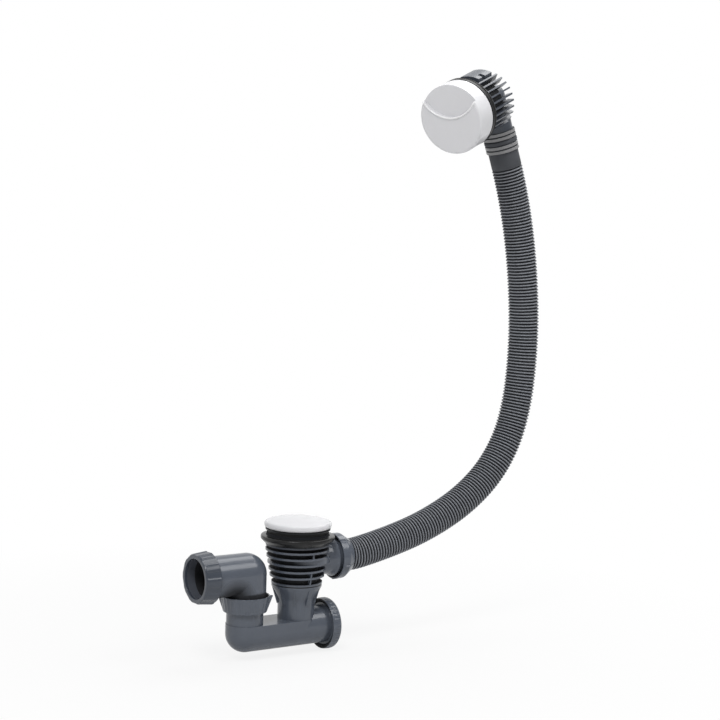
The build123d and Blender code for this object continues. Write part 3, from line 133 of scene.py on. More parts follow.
def softened(name, node, width):
    """Copy of a solid's mesh with its flat faces joined and its edges rounded by a bevel, in millimetres."""
    mesh = NODES[node].data.copy()
    mesh.name = name
    mesh.materials.clear()
    for attribute in ("custom_normal", "sharp_edge", "sharp_face"):
        if attribute in mesh.attributes:
            mesh.attributes.remove(mesh.attributes[attribute])
    work = bmesh.new()
    work.from_mesh(mesh)
    bmesh.ops.remove_doubles(work, verts=work.verts, dist=SOLID_MERGE)
    bmesh.ops.dissolve_limit(work, angle_limit=math.radians(FLAT_ANGLE), verts=work.verts, edges=work.edges)
    piece = finished_mesh(mesh, work, ALL_SMOOTH)
    bevel = piece.modifiers.new("round_edges", "BEVEL")
    bevel.width = width * MM
    bevel.segments = BEVEL_STEPS
    bevel.limit_method = "ANGLE"
    bevel.angle_limit = math.radians(BEVEL_ANGLE)
    bevel.use_clamp_overlap = True
    level = piece.modifiers.new("level_faces", "WEIGHTED_NORMAL")
    level.keep_sharp = True
    return stand_in(piece, node)


def added_to(piece, node):
    """The piece rides on a solid's body and has its slot."""
    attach(piece, NODES[node]["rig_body"])
    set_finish(piece, SLOTS[node])
    return piece


def stand_in(piece, node):
    """The piece takes a solid's place, with its body and its slot."""
    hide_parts(node)
    return added_to(piece, node)


# Turned pieces

def place(origin, across, axis):
    """Origin and three unit directions: angle nought, a quarter turn on, and the axis."""
    across = np.array(across, float)
    axis = np.array(axis, float)
    return np.array(origin, float), across, np.cross(axis, across), axis


def rounded(corners):
    """Outline through corners given as (radius, height, rounding, swell share).

    Each corner becomes an arc of its own rounding: a conic from one tangent point to the next, weighted by
    the sine of half the corner's angle, which makes it circular. The swell share stays with its corner.
    """
    corners = np.array(corners, float)
    points = corners[:, :2]
    before = np.roll(points, 1, axis=0) - points
    after = np.roll(points, -1, axis=0) - points
    before /= np.linalg.norm(before, axis=1, keepdims=True)
    after /= np.linalg.norm(after, axis=1, keepdims=True)
    half = np.arccos(np.clip(np.sum(before * after, axis=1), -1, 1)) / 2
    reach = (corners[:, 2] / np.tan(half))[:, None]
    step = np.linspace(0, 1, ROUND_STEPS)[None, :, None]
    weight = 2 * np.sin(half)[:, None, None] * step * (1 - step)
    first = (1 - step) ** 2
    last = step ** 2
    arcs = (first * (points + before * reach)[:, None] + weight * points[:, None]
            + last * (points + after * reach)[:, None]) / (first + weight + last)
    return np.concatenate([arcs.reshape(-1, 2), np.repeat(corners[:, 3:4], ROUND_STEPS, axis=0)], axis=1)


def ridges(count, width, radius, columns, soft, first=0.0):
    """Height from 0 to 1, by angle, of evenly spaced ridges around a circle: flat tops and soft flanks.

    Each flank is as wide as soft, in millimetres, and the first ridge stands at an angle in degrees.
    """
    turn = np.linspace(0, 1, columns, endpoint=False) - first / 360
    across = np.abs((turn * count + 0.5) % 1 - 0.5) / count * TAU * radius
    rise = np.clip((width / 2 - across) / soft + 0.5, 0, 1)
    return rise * rise * (3 - 2 * rise)


def around(where, outline, columns, swell=0.0):
    """Points around an axis: each outline point keeps its height, and its radius plus a swell by angle."""
    origin, across, quarter, axis = where
    angle = np.linspace(0, TAU, columns, endpoint=False)
    radius = outline[:, :1] + swell * np.ones(columns)
    spoke = np.cos(angle)[:, None] * across + np.sin(angle)[:, None] * quarter
    return origin + radius[..., None] * spoke + outline[:, 1][:, None, None] * axis


def turned(name, node, where, outline, columns, swell=0.0, closed=True):
    """Piece around an axis in place of a solid: each outline point takes its own share of the swell."""
    points = around(where, outline, columns, outline[:, 2:3] * swell)
    return stand_in(grid_piece(name, points, wrap_rows=closed), node)


SPIGOT_HEIGHT = -29.5
TUBE_HEIGHT = -100.2
OUTLET_HEIGHT = -38.6
RISER_X = -61.7
UPWARD = (0, 0, 1)
ALONG = (1, 0, 0)
BACK = (0, 1, 0)
WASTE = place((0, 0, 0), ALONG, UPWARD)
SPIGOT = place((0, 0, SPIGOT_HEIGHT), BACK, ALONG)
TUBE = place((0, 0, TUBE_HEIGHT), BACK, ALONG)
OUTLET = place((0, 0, OUTLET_HEIGHT), BACK, ALONG)
RISER = place((RISER_X, 0, 0), ALONG, UPWARD)
HEAD_OUT = np.array(JOINTS["knob_turn"]["axis"])
HEAD_UP = np.array(JOINTS["upper_wire_pull"]["axis"])
HEAD = place(np.array(JOINTS["knob_turn"]["pos_m"]) / MM, np.cross(HEAD_UP, HEAD_OUT), HEAD_OUT)

FINE_COLUMNS = 192

# Plug: dome on an upright rim, with a round recess under it
PLUG_RADIUS = 35.0
PLUG_UNDER = 5.0
PLUG_RIM_TOP = 11.0
PLUG_DOME = 5.3
PLUG_ROUND = 2.8
PLUG_RECESS = 20.0
PLUG_CEILING = 7.4
RECESS_ROUND = 0.5
DOME_ROWS = 20


def plug_cap():
    """Ball-shaped dome: height over the rim falls from the crown as a circle's arc through the rim."""
    ball = (PLUG_RADIUS ** 2 + PLUG_DOME ** 2) / (2 * PLUG_DOME)
    radius = np.linspace(0, PLUG_RADIUS, DOME_ROWS)[:-1]
    height = PLUG_RIM_TOP + PLUG_DOME - ball + np.sqrt(ball ** 2 - radius ** 2)
    dome = np.stack([radius, height, 0 * radius, 0 * radius], axis=1)
    edge = [(PLUG_RADIUS, PLUG_RIM_TOP, PLUG_ROUND, 0), (PLUG_RADIUS, PLUG_UNDER, PLUG_ROUND, 0),
            (PLUG_RECESS, PLUG_UNDER, RECESS_ROUND, 0), (PLUG_RECESS, PLUG_CEILING, RECESS_ROUND, 0),
            (0, PLUG_CEILING, 0, 0)]
    outline = rounded(np.concatenate([dome, edge]))
    return turned("plug", "plug_cap", WASTE, outline, FINE_COLUMNS, closed=False)


# Lip gasket: radii, and heights from the origin
LIP_BORE = 26.1
LIP_SLEEVE = 32.4
LIP_RADIUS = 38.5
LIP_FOOT_RADIUS = 34.0
LIP_SLEEVE_FOOT = -2.6
LIP_TOP = -3.1
LIP_UNDER = -6.6
LIP_FOOT = -11.2


def lip_gasket():
    """Sleeve over a thick rounded ring, drawn in to its foot."""
    outline = rounded([(LIP_BORE, 0, 0, 0), (LIP_SLEEVE, 0, 0.4, 0), (LIP_SLEEVE, LIP_SLEEVE_FOOT, 0.5, 0),
                       (LIP_RADIUS, LIP_TOP, 1.5, 0), (LIP_RADIUS, LIP_UNDER, 1.6, 0),
                       (LIP_FOOT_RADIUS, LIP_FOOT, 0.5, 0), (LIP_BORE, LIP_FOOT, 0, 0)])
    return turned("lip_ring", "lip_gasket", WASTE, outline, FINE_COLUMNS)


# Overflow gasket: radii, and depths along the knob's axis
GASKET_BORE = 24.6
GASKET_EDGE = 36.8
GASKET_RIDGE = 37.2
GASKET_GROOVE = 36.3
GASKET_BACK = 53.2
GASKET_FRONT = 57.2
GASKET_INSET = 1.0


def overflow_gasket():
    """Flat ring with two rounded ridges around its edge."""
    outline = rounded([(GASKET_BORE, GASKET_BACK, 0, 0), (GASKET_EDGE, GASKET_BACK, 0.4, 0),
                       (GASKET_RIDGE, GASKET_BACK + GASKET_INSET, 0.5, 0),
                       (GASKET_GROOVE, (GASKET_BACK + GASKET_FRONT) / 2, 0.3, 0),
                       (GASKET_RIDGE, GASKET_FRONT - GASKET_INSET, 0.5, 0),
                       (GASKET_EDGE, GASKET_FRONT, 0.4, 0), (GASKET_BORE, GASKET_FRONT, 0, 0)])
    return turned("overflow_ring", "overflow_gasket", HEAD, outline, FINE_COLUMNS)


# Hose nut: radii, and depths along the spigot's axis
HOSE_NUT_RADIUS = 24.0
HOSE_NUT_LEAD = 22.8
HOSE_NUT_BORE = 18.8
HOSE_NUT_NOSE = 18.2
HOSE_NUT_RECESS = 17.5
HOSE_NUT_MOUTH = 14.7
HOSE_NUT_START = 43.1
HOSE_NUT_THROAT = 46.2
HOSE_NUT_STRAIGHT = 51.1
HOSE_NUT_STEP = 53.2
HOSE_NUT_SEAT = 58.0
HOSE_NUT_END = 60.3
HOSE_NUT_COLUMNS = 280
RIB_START = 44.4
RIB_COUNT = 5
RIB_WIDTH = 1.8
RIB_RISE = 0.9
RIB_SOFT = 0.5
FIRST_RIB = 54.0


def hose_nut():
    """Straight ring, then a cone to the mouth; ribs stand on the straight ring."""
    outline = rounded([(HOSE_NUT_BORE, HOSE_NUT_THROAT, 0.3, 0), (HOSE_NUT_LEAD, HOSE_NUT_START, 0.3, 0),
                       (HOSE_NUT_RADIUS, HOSE_NUT_START, 0.6, 0), (HOSE_NUT_RADIUS, RIB_START, 0.5, 1),
                       (HOSE_NUT_RADIUS, HOSE_NUT_STRAIGHT, 1.2, 1), (HOSE_NUT_NOSE, HOSE_NUT_END, 0.9, 0),
                       (HOSE_NUT_MOUTH, HOSE_NUT_END, 0.3, 0), (HOSE_NUT_MOUTH, HOSE_NUT_SEAT, 0, 0),
                       (HOSE_NUT_RECESS, HOSE_NUT_SEAT, 0, 0), (HOSE_NUT_RECESS, HOSE_NUT_STEP, 0, 0),
                       (HOSE_NUT_BORE, HOSE_NUT_STEP, 0, 0)])
    ribs = ridges(RIB_COUNT, RIB_WIDTH, HOSE_NUT_RADIUS, HOSE_NUT_COLUMNS, RIB_SOFT, FIRST_RIB)
    return turned("hose_union", "hose_nut", SPIGOT, outline, HOSE_NUT_COLUMNS, RIB_RISE * ribs)


# Cleaning cap: radii, and depths along the trap tube's axis
CAP_RADIUS = 26.4
CAP_LEAD = 25.2
CAP_RIM = 25.0
CAP_BORE = 22.2
CAP_CROWN = 12.0
CAP_START = 30.5
CAP_LIP = 32.3
CAP_THROAT = 33.4
CAP_FLOOR = 38.8
CAP_SHOULDER = 39.6
CAP_RIM_DEPTH = 41.3
CAP_END = 42.5
CAP_COLUMNS = 560
CAP_FLUTE_START = 33.2
CAP_FLUTE_END = 38.4
CAP_FLUTES = 40
CAP_FLUTE_WIDTH = 2.2
CAP_FLUTE_RISE = 0.4
CAP_FLUTE_SOFT = 1.2


def cleaning_cap():
    """Shallow cup with a gently domed face and fine flutes around its side."""
    outline = rounded([(0, CAP_FLOOR, 0, 0), (CAP_BORE, CAP_FLOOR, 0, 0), (CAP_BORE, CAP_THROAT, 0.3, 0),
                       (CAP_LEAD, CAP_START, 0.3, 0), (CAP_RADIUS, CAP_START, 0.6, 0),
                       (CAP_RADIUS, CAP_LIP, 0.5, 0), (CAP_RADIUS, CAP_FLUTE_START, 0.3, 1),
                       (CAP_RADIUS, CAP_FLUTE_END, 0.3, 1), (CAP_RADIUS, CAP_SHOULDER, 1.0, 0),
                       (CAP_RIM, CAP_RIM_DEPTH, 0.8, 0), (CAP_CROWN, CAP_END, 3.0, 0), (0, CAP_END, 0, 0)])
    flutes = ridges(CAP_FLUTES, CAP_FLUTE_WIDTH, CAP_RADIUS, CAP_COLUMNS, CAP_FLUTE_SOFT)
    return turned("cap", "cleaning_cap", TUBE, outline, CAP_COLUMNS, CAP_FLUTE_RISE * flutes, closed=False)


# Riser nut: radii, and heights along the riser's axis
RISER_NUT_BRIM = 25.4
RISER_NUT_LEAD = 24.5
RISER_NUT_WAIST = 22.8
RISER_NUT_BORE = 21.7
RISER_NUT_MOUTH = 19.3
RISER_NUT_TOP = -60.4
RISER_NUT_THROAT = -64.4
RISER_NUT_SEAT = -71.0
RISER_NUT_FOOT = -77.1
RISER_NUT_COLUMNS = 480
RISER_FLUTE_FOOT = -75.0
RISER_FLUTES = 30
RISER_FLUTE_WIDTH = 1.8
RISER_FLUTE_RISE = 0.3
RISER_FLUTE_SOFT = 1.6
LUG_COUNT = 2
LUG_WIDTH = 5.0
LUG_RADIUS = 26.0
LUG_RISE = 3.0
LUG_SOFT = 1.2
FIRST_LUG = -34.0


def riser_nut():
    """Cup that widens upward, with fine flutes and two lugs that grow evenly from foot to brim."""
    outline = rounded([(RISER_NUT_BORE, RISER_NUT_SEAT, 0, 0), (RISER_NUT_BORE, RISER_NUT_THROAT, 0.3, 0),
                       (RISER_NUT_LEAD, RISER_NUT_TOP, 0.3, 0), (RISER_NUT_BRIM, RISER_NUT_TOP, 0.45, 1),
                       (RISER_NUT_WAIST, RISER_FLUTE_FOOT, 0.4, 1), (RISER_NUT_WAIST, RISER_NUT_FOOT, 0.8, 0),
                       (RISER_NUT_MOUTH, RISER_NUT_FOOT, 0.3, 0), (RISER_NUT_MOUTH, RISER_NUT_SEAT, 0, 0)])
    flutes = RISER_FLUTE_RISE * ridges(RISER_FLUTES, RISER_FLUTE_WIDTH, RISER_NUT_LEAD, RISER_NUT_COLUMNS,
                                       RISER_FLUTE_SOFT)
    lugs = LUG_RISE * ridges(LUG_COUNT, LUG_WIDTH, LUG_RADIUS, RISER_NUT_COLUMNS, LUG_SOFT, FIRST_LUG)
    rise = np.clip((outline[:, 1:2] - RISER_NUT_FOOT) / (RISER_NUT_TOP - RISER_NUT_FOOT), 0, 1)
    swell = np.maximum(flutes[None, :], lugs[None, :] * rise)
    return turned("riser_union", "riser_nut", RISER, outline, RISER_NUT_COLUMNS, swell)


# Outlet nut: radii, and depths along the outlet's axis
OUTLET_NUT_BACK_RADIUS = 26.3
OUTLET_NUT_FRONT_RADIUS = 24.6
OUTLET_NUT_BORE = 21.7
OUTLET_NUT_MOUTH = 20.6
OUTLET_NUT_BACK = -104.0
OUTLET_NUT_SEAT = -118.5
OUTLET_NUT_FRONT = -121.5
OUTLET_NUT_COLUMNS = 400
LOBE_BACK_RADIUS = 26.2
LOBE_FRONT_RADIUS = 24.7
LOBE_BACK = -105.6
LOBE_FRONT = -119.9
LOBE_COUNT = 10
LOBE_WIDTH = 9.0
LOBE_RADIUS = 26.0
LOBE_RISE = 1.0
LOBE_SOFT = 3.0


def outlet_nut():
    """Ring that narrows to its mouth, with broad low lobes around it."""
    outline = rounded([(OUTLET_NUT_BORE, OUTLET_NUT_BACK, 0.3, 0),
                       (OUTLET_NUT_BACK_RADIUS, OUTLET_NUT_BACK, 1.0, 0),
                       (LOBE_BACK_RADIUS, LOBE_BACK, 0.6, 1), (LOBE_FRONT_RADIUS, LOBE_FRONT, 0.6, 1),
                       (OUTLET_NUT_FRONT_RADIUS, OUTLET_NUT_FRONT, 0.9, 0.5),
                       (OUTLET_NUT_MOUTH, OUTLET_NUT_FRONT, 0.6, 0),
                       (OUTLET_NUT_MOUTH, OUTLET_NUT_SEAT, 0, 0), (OUTLET_NUT_BORE, OUTLET_NUT_SEAT, 0, 0)])
    lobes = ridges(LOBE_COUNT, LOBE_WIDTH, LOBE_RADIUS, OUTLET_NUT_COLUMNS, LOBE_SOFT)
    return turned("outlet_union", "outlet_nut", OUTLET, outline, OUTLET_NUT_COLUMNS, LOBE_RISE * lobes)


# Knob: bead along the edge of its finger step
KNOB_RADIUS = 37.0
KNOB_FRONT = 86.0
KNOB_ROUND = 3.0
STEP_RADIUS = 35.5
STEP_HEIGHT = 2.7
STEP_TURN = math.radians(-7.0)
BEAD = 1.1
BEAD_SWING = math.radians(62.0)
BEAD_ROWS = 121
BEAD_COLUMNS = 16
BEAD_END_GAP = 0.4


def step_bead():
    """Thin round bead on the knob's face: circles across an arc that follows the face and its round edge."""
    swing = np.linspace(-BEAD_SWING, BEAD_SWING, BEAD_ROWS)
    reach = STEP_RADIUS + BEAD / 2
    x = reach * np.sin(swing)
    y = STEP_HEIGHT + STEP_RADIUS - reach * np.cos(swing)
    inside = np.hypot(x, y) < KNOB_RADIUS - BEAD_END_GAP
    x = x[inside]
    y = y[inside]
    from_axis = np.hypot(x, y)
    lean = np.clip((from_axis - KNOB_RADIUS + KNOB_ROUND) / KNOB_ROUND, 0, 1)
    level = np.sqrt(1 - lean ** 2)
    path = np.stack([x, y, KNOB_FRONT - KNOB_ROUND * (1 - level)], axis=1)
    normal = np.stack([lean * x / from_axis, lean * y / from_axis, level], axis=1)
    along = np.gradient(path, axis=0)
    side = np.cross(normal, along)
    side /= np.linalg.norm(side, axis=1, keepdims=True)
    angle = np.linspace(0, TAU, BEAD_COLUMNS, endpoint=False)[None, :, None]
    local = path[:, None] + BEAD * (np.cos(angle) * normal[:, None] + np.sin(angle) * side[:, None])
    ends = local.mean(axis=1, keepdims=True)[[0, -1]] * np.ones((1, BEAD_COLUMNS, 1))
    local = np.concatenate([ends[:1], local, ends[1:]])
    origin, across, upright, axis = HEAD
    turned_x = local[..., 0] * math.cos(STEP_TURN) - local[..., 1] * math.sin(STEP_TURN)
    turned_y = local[..., 0] * math.sin(STEP_TURN) + local[..., 1] * math.cos(STEP_TURN)
    points = origin + turned_x[..., None] * across + turned_y[..., None] * upright + local[..., 2:] * axis
    return added_to(grid_piece("step_bead", points), "knob")


# Waste body: lower webs that tie its last fins to its foot
WEB_HALF = 0.8
WEB_TOP = -37.8
WEB_FOOT = -52.0
WEB_TOP_REACH = (22.0, 29.3)
WEB_FOOT_REACH = (21.0, 26.2)
WEB_SHARP = 30.0


def lower_webs():
    """Two upright plates, front and back: each has four corners at both faces, closed to the middles."""
    corners = np.array([(WEB_TOP_REACH[0], WEB_TOP), (WEB_TOP_REACH[1], WEB_TOP),
                        (WEB_FOOT_REACH[1], WEB_FOOT), (WEB_FOOT_REACH[0], WEB_FOOT)])
    sheet = np.stack([0 * corners[:, 0], corners[:, 0], corners[:, 1]], axis=1)
    face = np.array([WEB_HALF, 0, 0])
    middle = sheet.mean(axis=0) * np.ones((len(sheet), 1))
    solid = np.stack([middle - face, sheet - face, sheet + face, middle + face])
    made = []
    for name, side in (("front_web", -1), ("back_web", 1)):
        piece = grid_piece(name, solid * np.array([1, side, 1]), sharp=WEB_SHARP)
        made.append(added_to(piece, "waste_body"))
    return made


# Neck: fine ridges on its collar
COLLAR_TOP = -37.0
COLLAR_FOOT = -59.0
RIDGE_STEP = 4.75
RIDGE_COUNT = 5
RIDGE_FOOT = 16.75
RIDGE_RISE = 1.4
RIDGE_REACH = 2.2
RIDGE_FLANK = 0.75
RIDGE_ROWS = 16
COLLAR_BORE = 16.0
COLLAR_COLUMNS = 96
NECK_LINE = place(HEAD[0], HEAD_OUT, HEAD_UP)


def ridged_collar():
    """Sleeve on the neck: the radius rises to a flat ridge once a step, with soft flanks."""
    height = np.linspace(COLLAR_FOOT, COLLAR_TOP, RIDGE_COUNT * RIDGE_ROWS + 1)
    middle = (COLLAR_FOOT + COLLAR_TOP) / 2
    off = np.abs(((height - middle) / RIDGE_STEP + 0.5) % 1 - 0.5) * RIDGE_STEP
    rise = np.clip((RIDGE_REACH - off) / RIDGE_FLANK, 0, 1)
    radius = RIDGE_FOOT + RIDGE_RISE * rise * rise * (3 - 2 * rise)
    outline = np.stack([radius, height], axis=1)
    inner = np.array([(COLLAR_BORE, COLLAR_TOP), (COLLAR_BORE, COLLAR_FOOT)])
    points = around(NECK_LINE, np.concatenate([outline, inner]), COLLAR_COLUMNS)
    return added_to(grid_piece("ridged_collar", points, wrap_rows=True), "overflow_body")


# Overflow hose: one bend after another as (radius, degrees), in the plane of the waste and the trap
HOSE_START = 62.0
HOSE_BENDS = np.array([(80, 10.1), (661, 5.2), (315, 12.0), (199, 12.4), (141, 34.1),
                       (241, 10.0), (486, 9.9), (633, 7.6), (530, 8.0)], float)
BEND_RADII = HOSE_BENDS[:, 0]
BEND_TURNS = np.radians(HOSE_BENDS[:, 1])
BEND_ENDS = np.concatenate([[0.0], np.cumsum(BEND_RADII * BEND_TURNS)])
BEND_HEADINGS = np.concatenate([[0.0], np.cumsum(BEND_TURNS)])
BEND_X = HOSE_START + np.concatenate([[0.0], np.cumsum(BEND_RADII * np.diff(np.sin(BEND_HEADINGS)))])
BEND_Z = SPIGOT_HEIGHT - np.concatenate([[0.0], np.cumsum(BEND_RADII * np.diff(np.cos(BEND_HEADINGS)))])
HOSE_LENGTH = BEND_ENDS[-1]


def hose_line(distance):
    """Points and headings of the hose's centre line: arcs joined end to end, straight past both ends."""
    inside = np.clip(distance, 0, HOSE_LENGTH)
    which = np.clip(np.searchsorted(BEND_ENDS, inside, side="right") - 1, 0, len(BEND_RADII) - 1)
    radius = BEND_RADII[which]
    start = BEND_HEADINGS[which]
    heading = start + (inside - BEND_ENDS[which]) / radius
    beyond = distance - inside
    x = BEND_X[which] + radius * (np.sin(heading) - np.sin(start)) + beyond * np.cos(heading)
    z = BEND_Z[which] + radius * (np.cos(start) - np.cos(heading)) + beyond * np.sin(heading)
    return x, z, heading


def along_hose(distance, radius, columns):
    """Circles across the hose: each has its centre on the centre line and its own radius."""
    x, z, heading = hose_line(distance)
    angle = np.linspace(0, TAU, columns, endpoint=False)
    side = radius[:, None] * np.cos(angle)
    lift = radius[:, None] * np.sin(angle)
    return np.stack([x[:, None] - lift * np.sin(heading)[:, None], side,
                     z[:, None] + lift * np.cos(heading)[:, None]], axis=-1)


HOSE_RINGS = 158
RING_STEPS = 10
HOSE_CREST = 16.9
HOSE_GROOVE = 15.0
HOSE_BORE = 12.6
HOSE_END = 14.4
HOSE_FLANGE = 17.3
HOSE_CUFF = 16.4
CUFF_SHADE = 0.53
CREST_POWER = 0.8
BORE_ROWS = 60
HOSE_COLUMNS = 56
HOSE_SHARP = 50.0

# Hose ends: distances from the first ring, and past the last one as (distance, radius)
END_BACK = -6.5
END_SHOULDER = -4.0
END_FRONT = -0.2
CUFF_START = ((0.3, 15.9), (0.9, HOSE_CUFF))
CUFF_MIDDLE = (9.5, HOSE_CUFF)
CUFF_EDGE = ((18.6, HOSE_CUFF), (19.2, 16.2), (19.5, 15.7), (19.5, HOSE_END))
CUFF_SEAT = ((1.5, HOSE_END), (1.5, HOSE_BORE))


def overflow_hose():
    """Ringed tube: the radius swings from groove to crest and back once a ring, as a cosine to a power.

    A flanged end goes before the rings and a plain cuff after them.
    """
    distance = np.linspace(0, HOSE_LENGTH, HOSE_RINGS * RING_STEPS + 1)
    phase = np.linspace(0, HOSE_RINGS, HOSE_RINGS * RING_STEPS + 1) * TAU
    wave = (0.5 - 0.5 * np.cos(phase)) ** CREST_POWER
    radius = HOSE_GROOVE + (HOSE_CREST - HOSE_GROOVE) * wave
    lower = np.array([(END_BACK, HOSE_BORE), (END_BACK, HOSE_FLANGE), (END_SHOULDER, HOSE_FLANGE),
                      (END_SHOULDER, HOSE_END), (END_FRONT, HOSE_END)])
    cuff = np.array([*CUFF_START, CUFF_MIDDLE, *CUFF_EDGE, *CUFF_SEAT])
    cuff[:, 0] += HOSE_LENGTH
    inner = np.linspace(HOSE_LENGTH, 0, BORE_ROWS)
    outline = np.concatenate([distance, cuff[:, 0], inner, lower[:, 0]])
    radii = np.concatenate([radius, cuff[:, 1], np.full(BORE_ROWS, HOSE_BORE), lower[:, 1]])
    shade = np.concatenate([wave, np.full(len(cuff), CUFF_SHADE), np.zeros(BORE_ROWS), np.ones(len(lower))])
    points = along_hose(outline, radii, HOSE_COLUMNS)
    piece = grid_piece("hose", points, wrap_rows=True, sharp=HOSE_SHARP, shade=shade)
    return stand_in(piece, "overflow_hose")


PIECES = [
    plug_cap(), lip_gasket(), overflow_gasket(), hose_nut(), cleaning_cap(), riser_nut(), outlet_nut(),
    overflow_hose(),
    softened("finned_body", "waste_body", 0.35),
    softened("trap", "trap_body", 0.5),
    softened("bend", "elbow", 0.4),
    softened("ribbed_drum", "overflow_body", 0.3),
    softened("ring_plate", "front_plate", 0.4),
    softened("turn_knob", "knob", 0.8),
    step_bead(), ridged_collar(), *lower_webs(),
]


# Materials

class Value:
    """Socket in a material's node tree. Operators between values add Math nodes."""

    def __init__(self, tree, socket):
        self.tree = tree
        self.socket = socket

    def make(self, kind, settings=None, inputs=None, output=0):
        """Adds a node of any kind: settings are set first, then sockets get their values or links."""
        node = self.tree.nodes.new(kind)
        for name, value in (settings or {}).items():
            setattr(node, name, value)
        for name, value in (inputs or {}).items():
            if isinstance(value, Value):
                self.tree.links.new(value.socket, node.inputs[name])
            else:
                node.inputs[name].default_value = value
        return Value(self.tree, node.outputs[output])

    def maths(self, operation, first, second):
        """Math node on two values or numbers."""
        return self.make("ShaderNodeMath", {"operation": operation}, {0: first, 1: second})

    def __add__(self, other):
        return self.maths("ADD", self, other)

    __radd__ = __add__

    def __sub__(self, other):
        return self.maths("SUBTRACT", self, other)

    def __rsub__(self, other):
        return self.maths("SUBTRACT", other, self)

    def __mul__(self, other):
        return self.maths("MULTIPLY", self, other)

    __rmul__ = __mul__

    def noise(self, scale, detail=2.0, roughness=0.5):
        """Noise over the coordinates that this value holds."""
        return self.make("ShaderNodeTexNoise", None,
                         {"Vector": self, "Scale": scale, "Detail": detail, "Roughness": roughness})

    def between(self, low, high, start=0.0, end=1.0):
        """Straight run from start to end as this value goes from low to high, level outside."""
        return self.make("ShaderNodeMapRange", None,
                         {"Value": self, "From Min": low, "From Max": high, "To Min": start, "To Max": end})

    def rising(self, none, full):
        """Share from 0 to 1 as this distance in metres goes from one length in millimetres to another."""
        return self.between(none * MM, full * MM)

    def falling(self, full, none):
        """Share from 1 to 0 as this distance in metres goes from one length in millimetres to another."""
        return self.between(full * MM, none * MM, 1.0, 0.0)

    def blend(self, first, second):
        """Colour between two, mixed by this value."""
        return self.make("ShaderNodeMix", {"data_type": "RGBA"}, {0: self, 6: first, 7: second}, output=2)

    def bump(self, strength, distance):
        """Normal of a surface with this value as its height."""
        return self.make("ShaderNodeBump", None, {"Height": self, "Strength": strength, "Distance": distance})


def material(name, recipe):
    """New material. The recipe takes the object's coordinates and gives the surface's sockets by name."""
    made = bpy.data.materials.new(name)
    made.use_nodes = True
    tree = made.node_tree
    surface = tree.nodes["Principled BSDF"]
    coordinates = tree.nodes.new("ShaderNodeTexCoord")
    for socket, value in recipe(Value(tree, coordinates.outputs["Object"])).items():
        if isinstance(value, Value):
            tree.links.new(value.socket, surface.inputs[socket])
        else:
            surface.inputs[socket].default_value = value
    return made


CLOUDS = {"scale": 38.0, "detail": 4.0, "roughness": 0.6}
FLOW = {"scale": 120.0, "detail": 3.0, "roughness": 0.55}
GRAIN_SHARE = 0.6
GRAIN_DEPTH = 0.0004
GLOSS_CHANGE = 0.08
DULL = 0.8


def moulded(dark, light, rough, grain=2600.0, relief=0.012, shine=0.5):
    """Recipe of a moulded plastic: faint clouds of colour, uneven gloss and a fine moulded grain."""
    def recipe(where):
        clouds = where.noise(**CLOUDS)
        fine = where.noise(grain)
        flow = where.noise(**FLOW)
        height = fine * GRAIN_SHARE + flow * (1 - GRAIN_SHARE)
        return {
            "Base Color": clouds.blend((*dark, 1.0), (*light, 1.0)),
            "Roughness": rough - GLOSS_CHANGE / 2 + flow * GLOSS_CHANGE,
            "Normal": height.bump(relief, GRAIN_DEPTH),
            "Specular IOR Level": shine,
        }
    return recipe


def tinted(plain, colour, share):
    """Recipe with a second, dull colour wherever a share from 0 to 1 of the coordinates brings it in."""
    def recipe(where):
        sockets = plain(where)
        amount = share(where)
        sockets["Base Color"] = amount.blend(sockets["Base Color"], (*colour, 1.0))
        sockets["Roughness"] = sockets["Roughness"] + amount * (DULL - sockets["Roughness"])
        return sockets
    return recipe


def metal(plain):
    """Recipe with the same sockets, as a metal."""
    def recipe(where):
        return {**plain(where), "Metallic": 1.0}
    return recipe


def from_line(where, origin, axis):
    """Distance in metres from a line through an origin given in millimetres."""
    offset = where.make("ShaderNodeVectorMath", {"operation": "SUBTRACT"}, {0: where, 1: tuple(origin * MM)})
    swept = where.make("ShaderNodeVectorMath", {"operation": "CROSS_PRODUCT"}, {0: offset, 1: tuple(axis)})
    return where.make("ShaderNodeVectorMath", {"operation": "LENGTH"}, {0: swept}, output="Value")


def along_line(where, origin, axis):
    """Distance in metres along a line from an origin given in millimetres."""
    offset = where.make("ShaderNodeVectorMath", {"operation": "SUBTRACT"}, {0: where, 1: tuple(origin * MM)})
    return where.make("ShaderNodeVectorMath", {"operation": "DOT_PRODUCT"}, {0: offset, 1: tuple(axis)},
                      output="Value")


# Hose: shares of the rings' rise between which the painted shade in the grooves fades out
GROOVE_TO_CREST = (0.38, 0.95)

# Where painted shade lies, and the darker front of the head's flange, in millimetres: a pair is the two ends
# of a fade or of a band
FADE = 0.2
CORE_TAPER = 0.1815  # radius for each millimetre of height
CORE_TO_FIN = (34.4, 36.2)
BAND_HEIGHTS = (-30.1, -25.4)
BAND_CORE_TO_EDGE = (26.2, 28.5)
BOSS_TO_CLEAR = (18.1, 19.0)
LEFT_TO_BOSS = (4.0, 10.0)
CREASE = np.array((RISER_X - 21.5, 0, -60.0))
CREASE_FADE = (9.0, 23.0)
CREASE_SHADE_SHARE = 0.95  # share
ENTRY_FADE = (-57.0, -54.8)
ENTRY_SHADE_SHARE = 0.97  # share
DRUM_TO_RIB = (27.8, 32.6)
DRUM_BACK = (16.5, 18.5)
FLANGE_FRONT = (51.0, 51.4)


def painted_shade_in_groove(where):
    """Painted shade: full in the hose's grooves and bore, none on its crests; the cuff takes part of it as
    its darker tone.
    """
    crest = where.make("ShaderNodeAttribute", {"attribute_name": "shade"}, output="Fac")
    return crest.between(*GROOVE_TO_CREST, 1.0, 0.0)


def level_share(height, low, high):
    """Share that is full between two heights in millimetres and fades out just past both."""
    return height.rising(low - FADE, low) * height.falling(high, high + FADE)


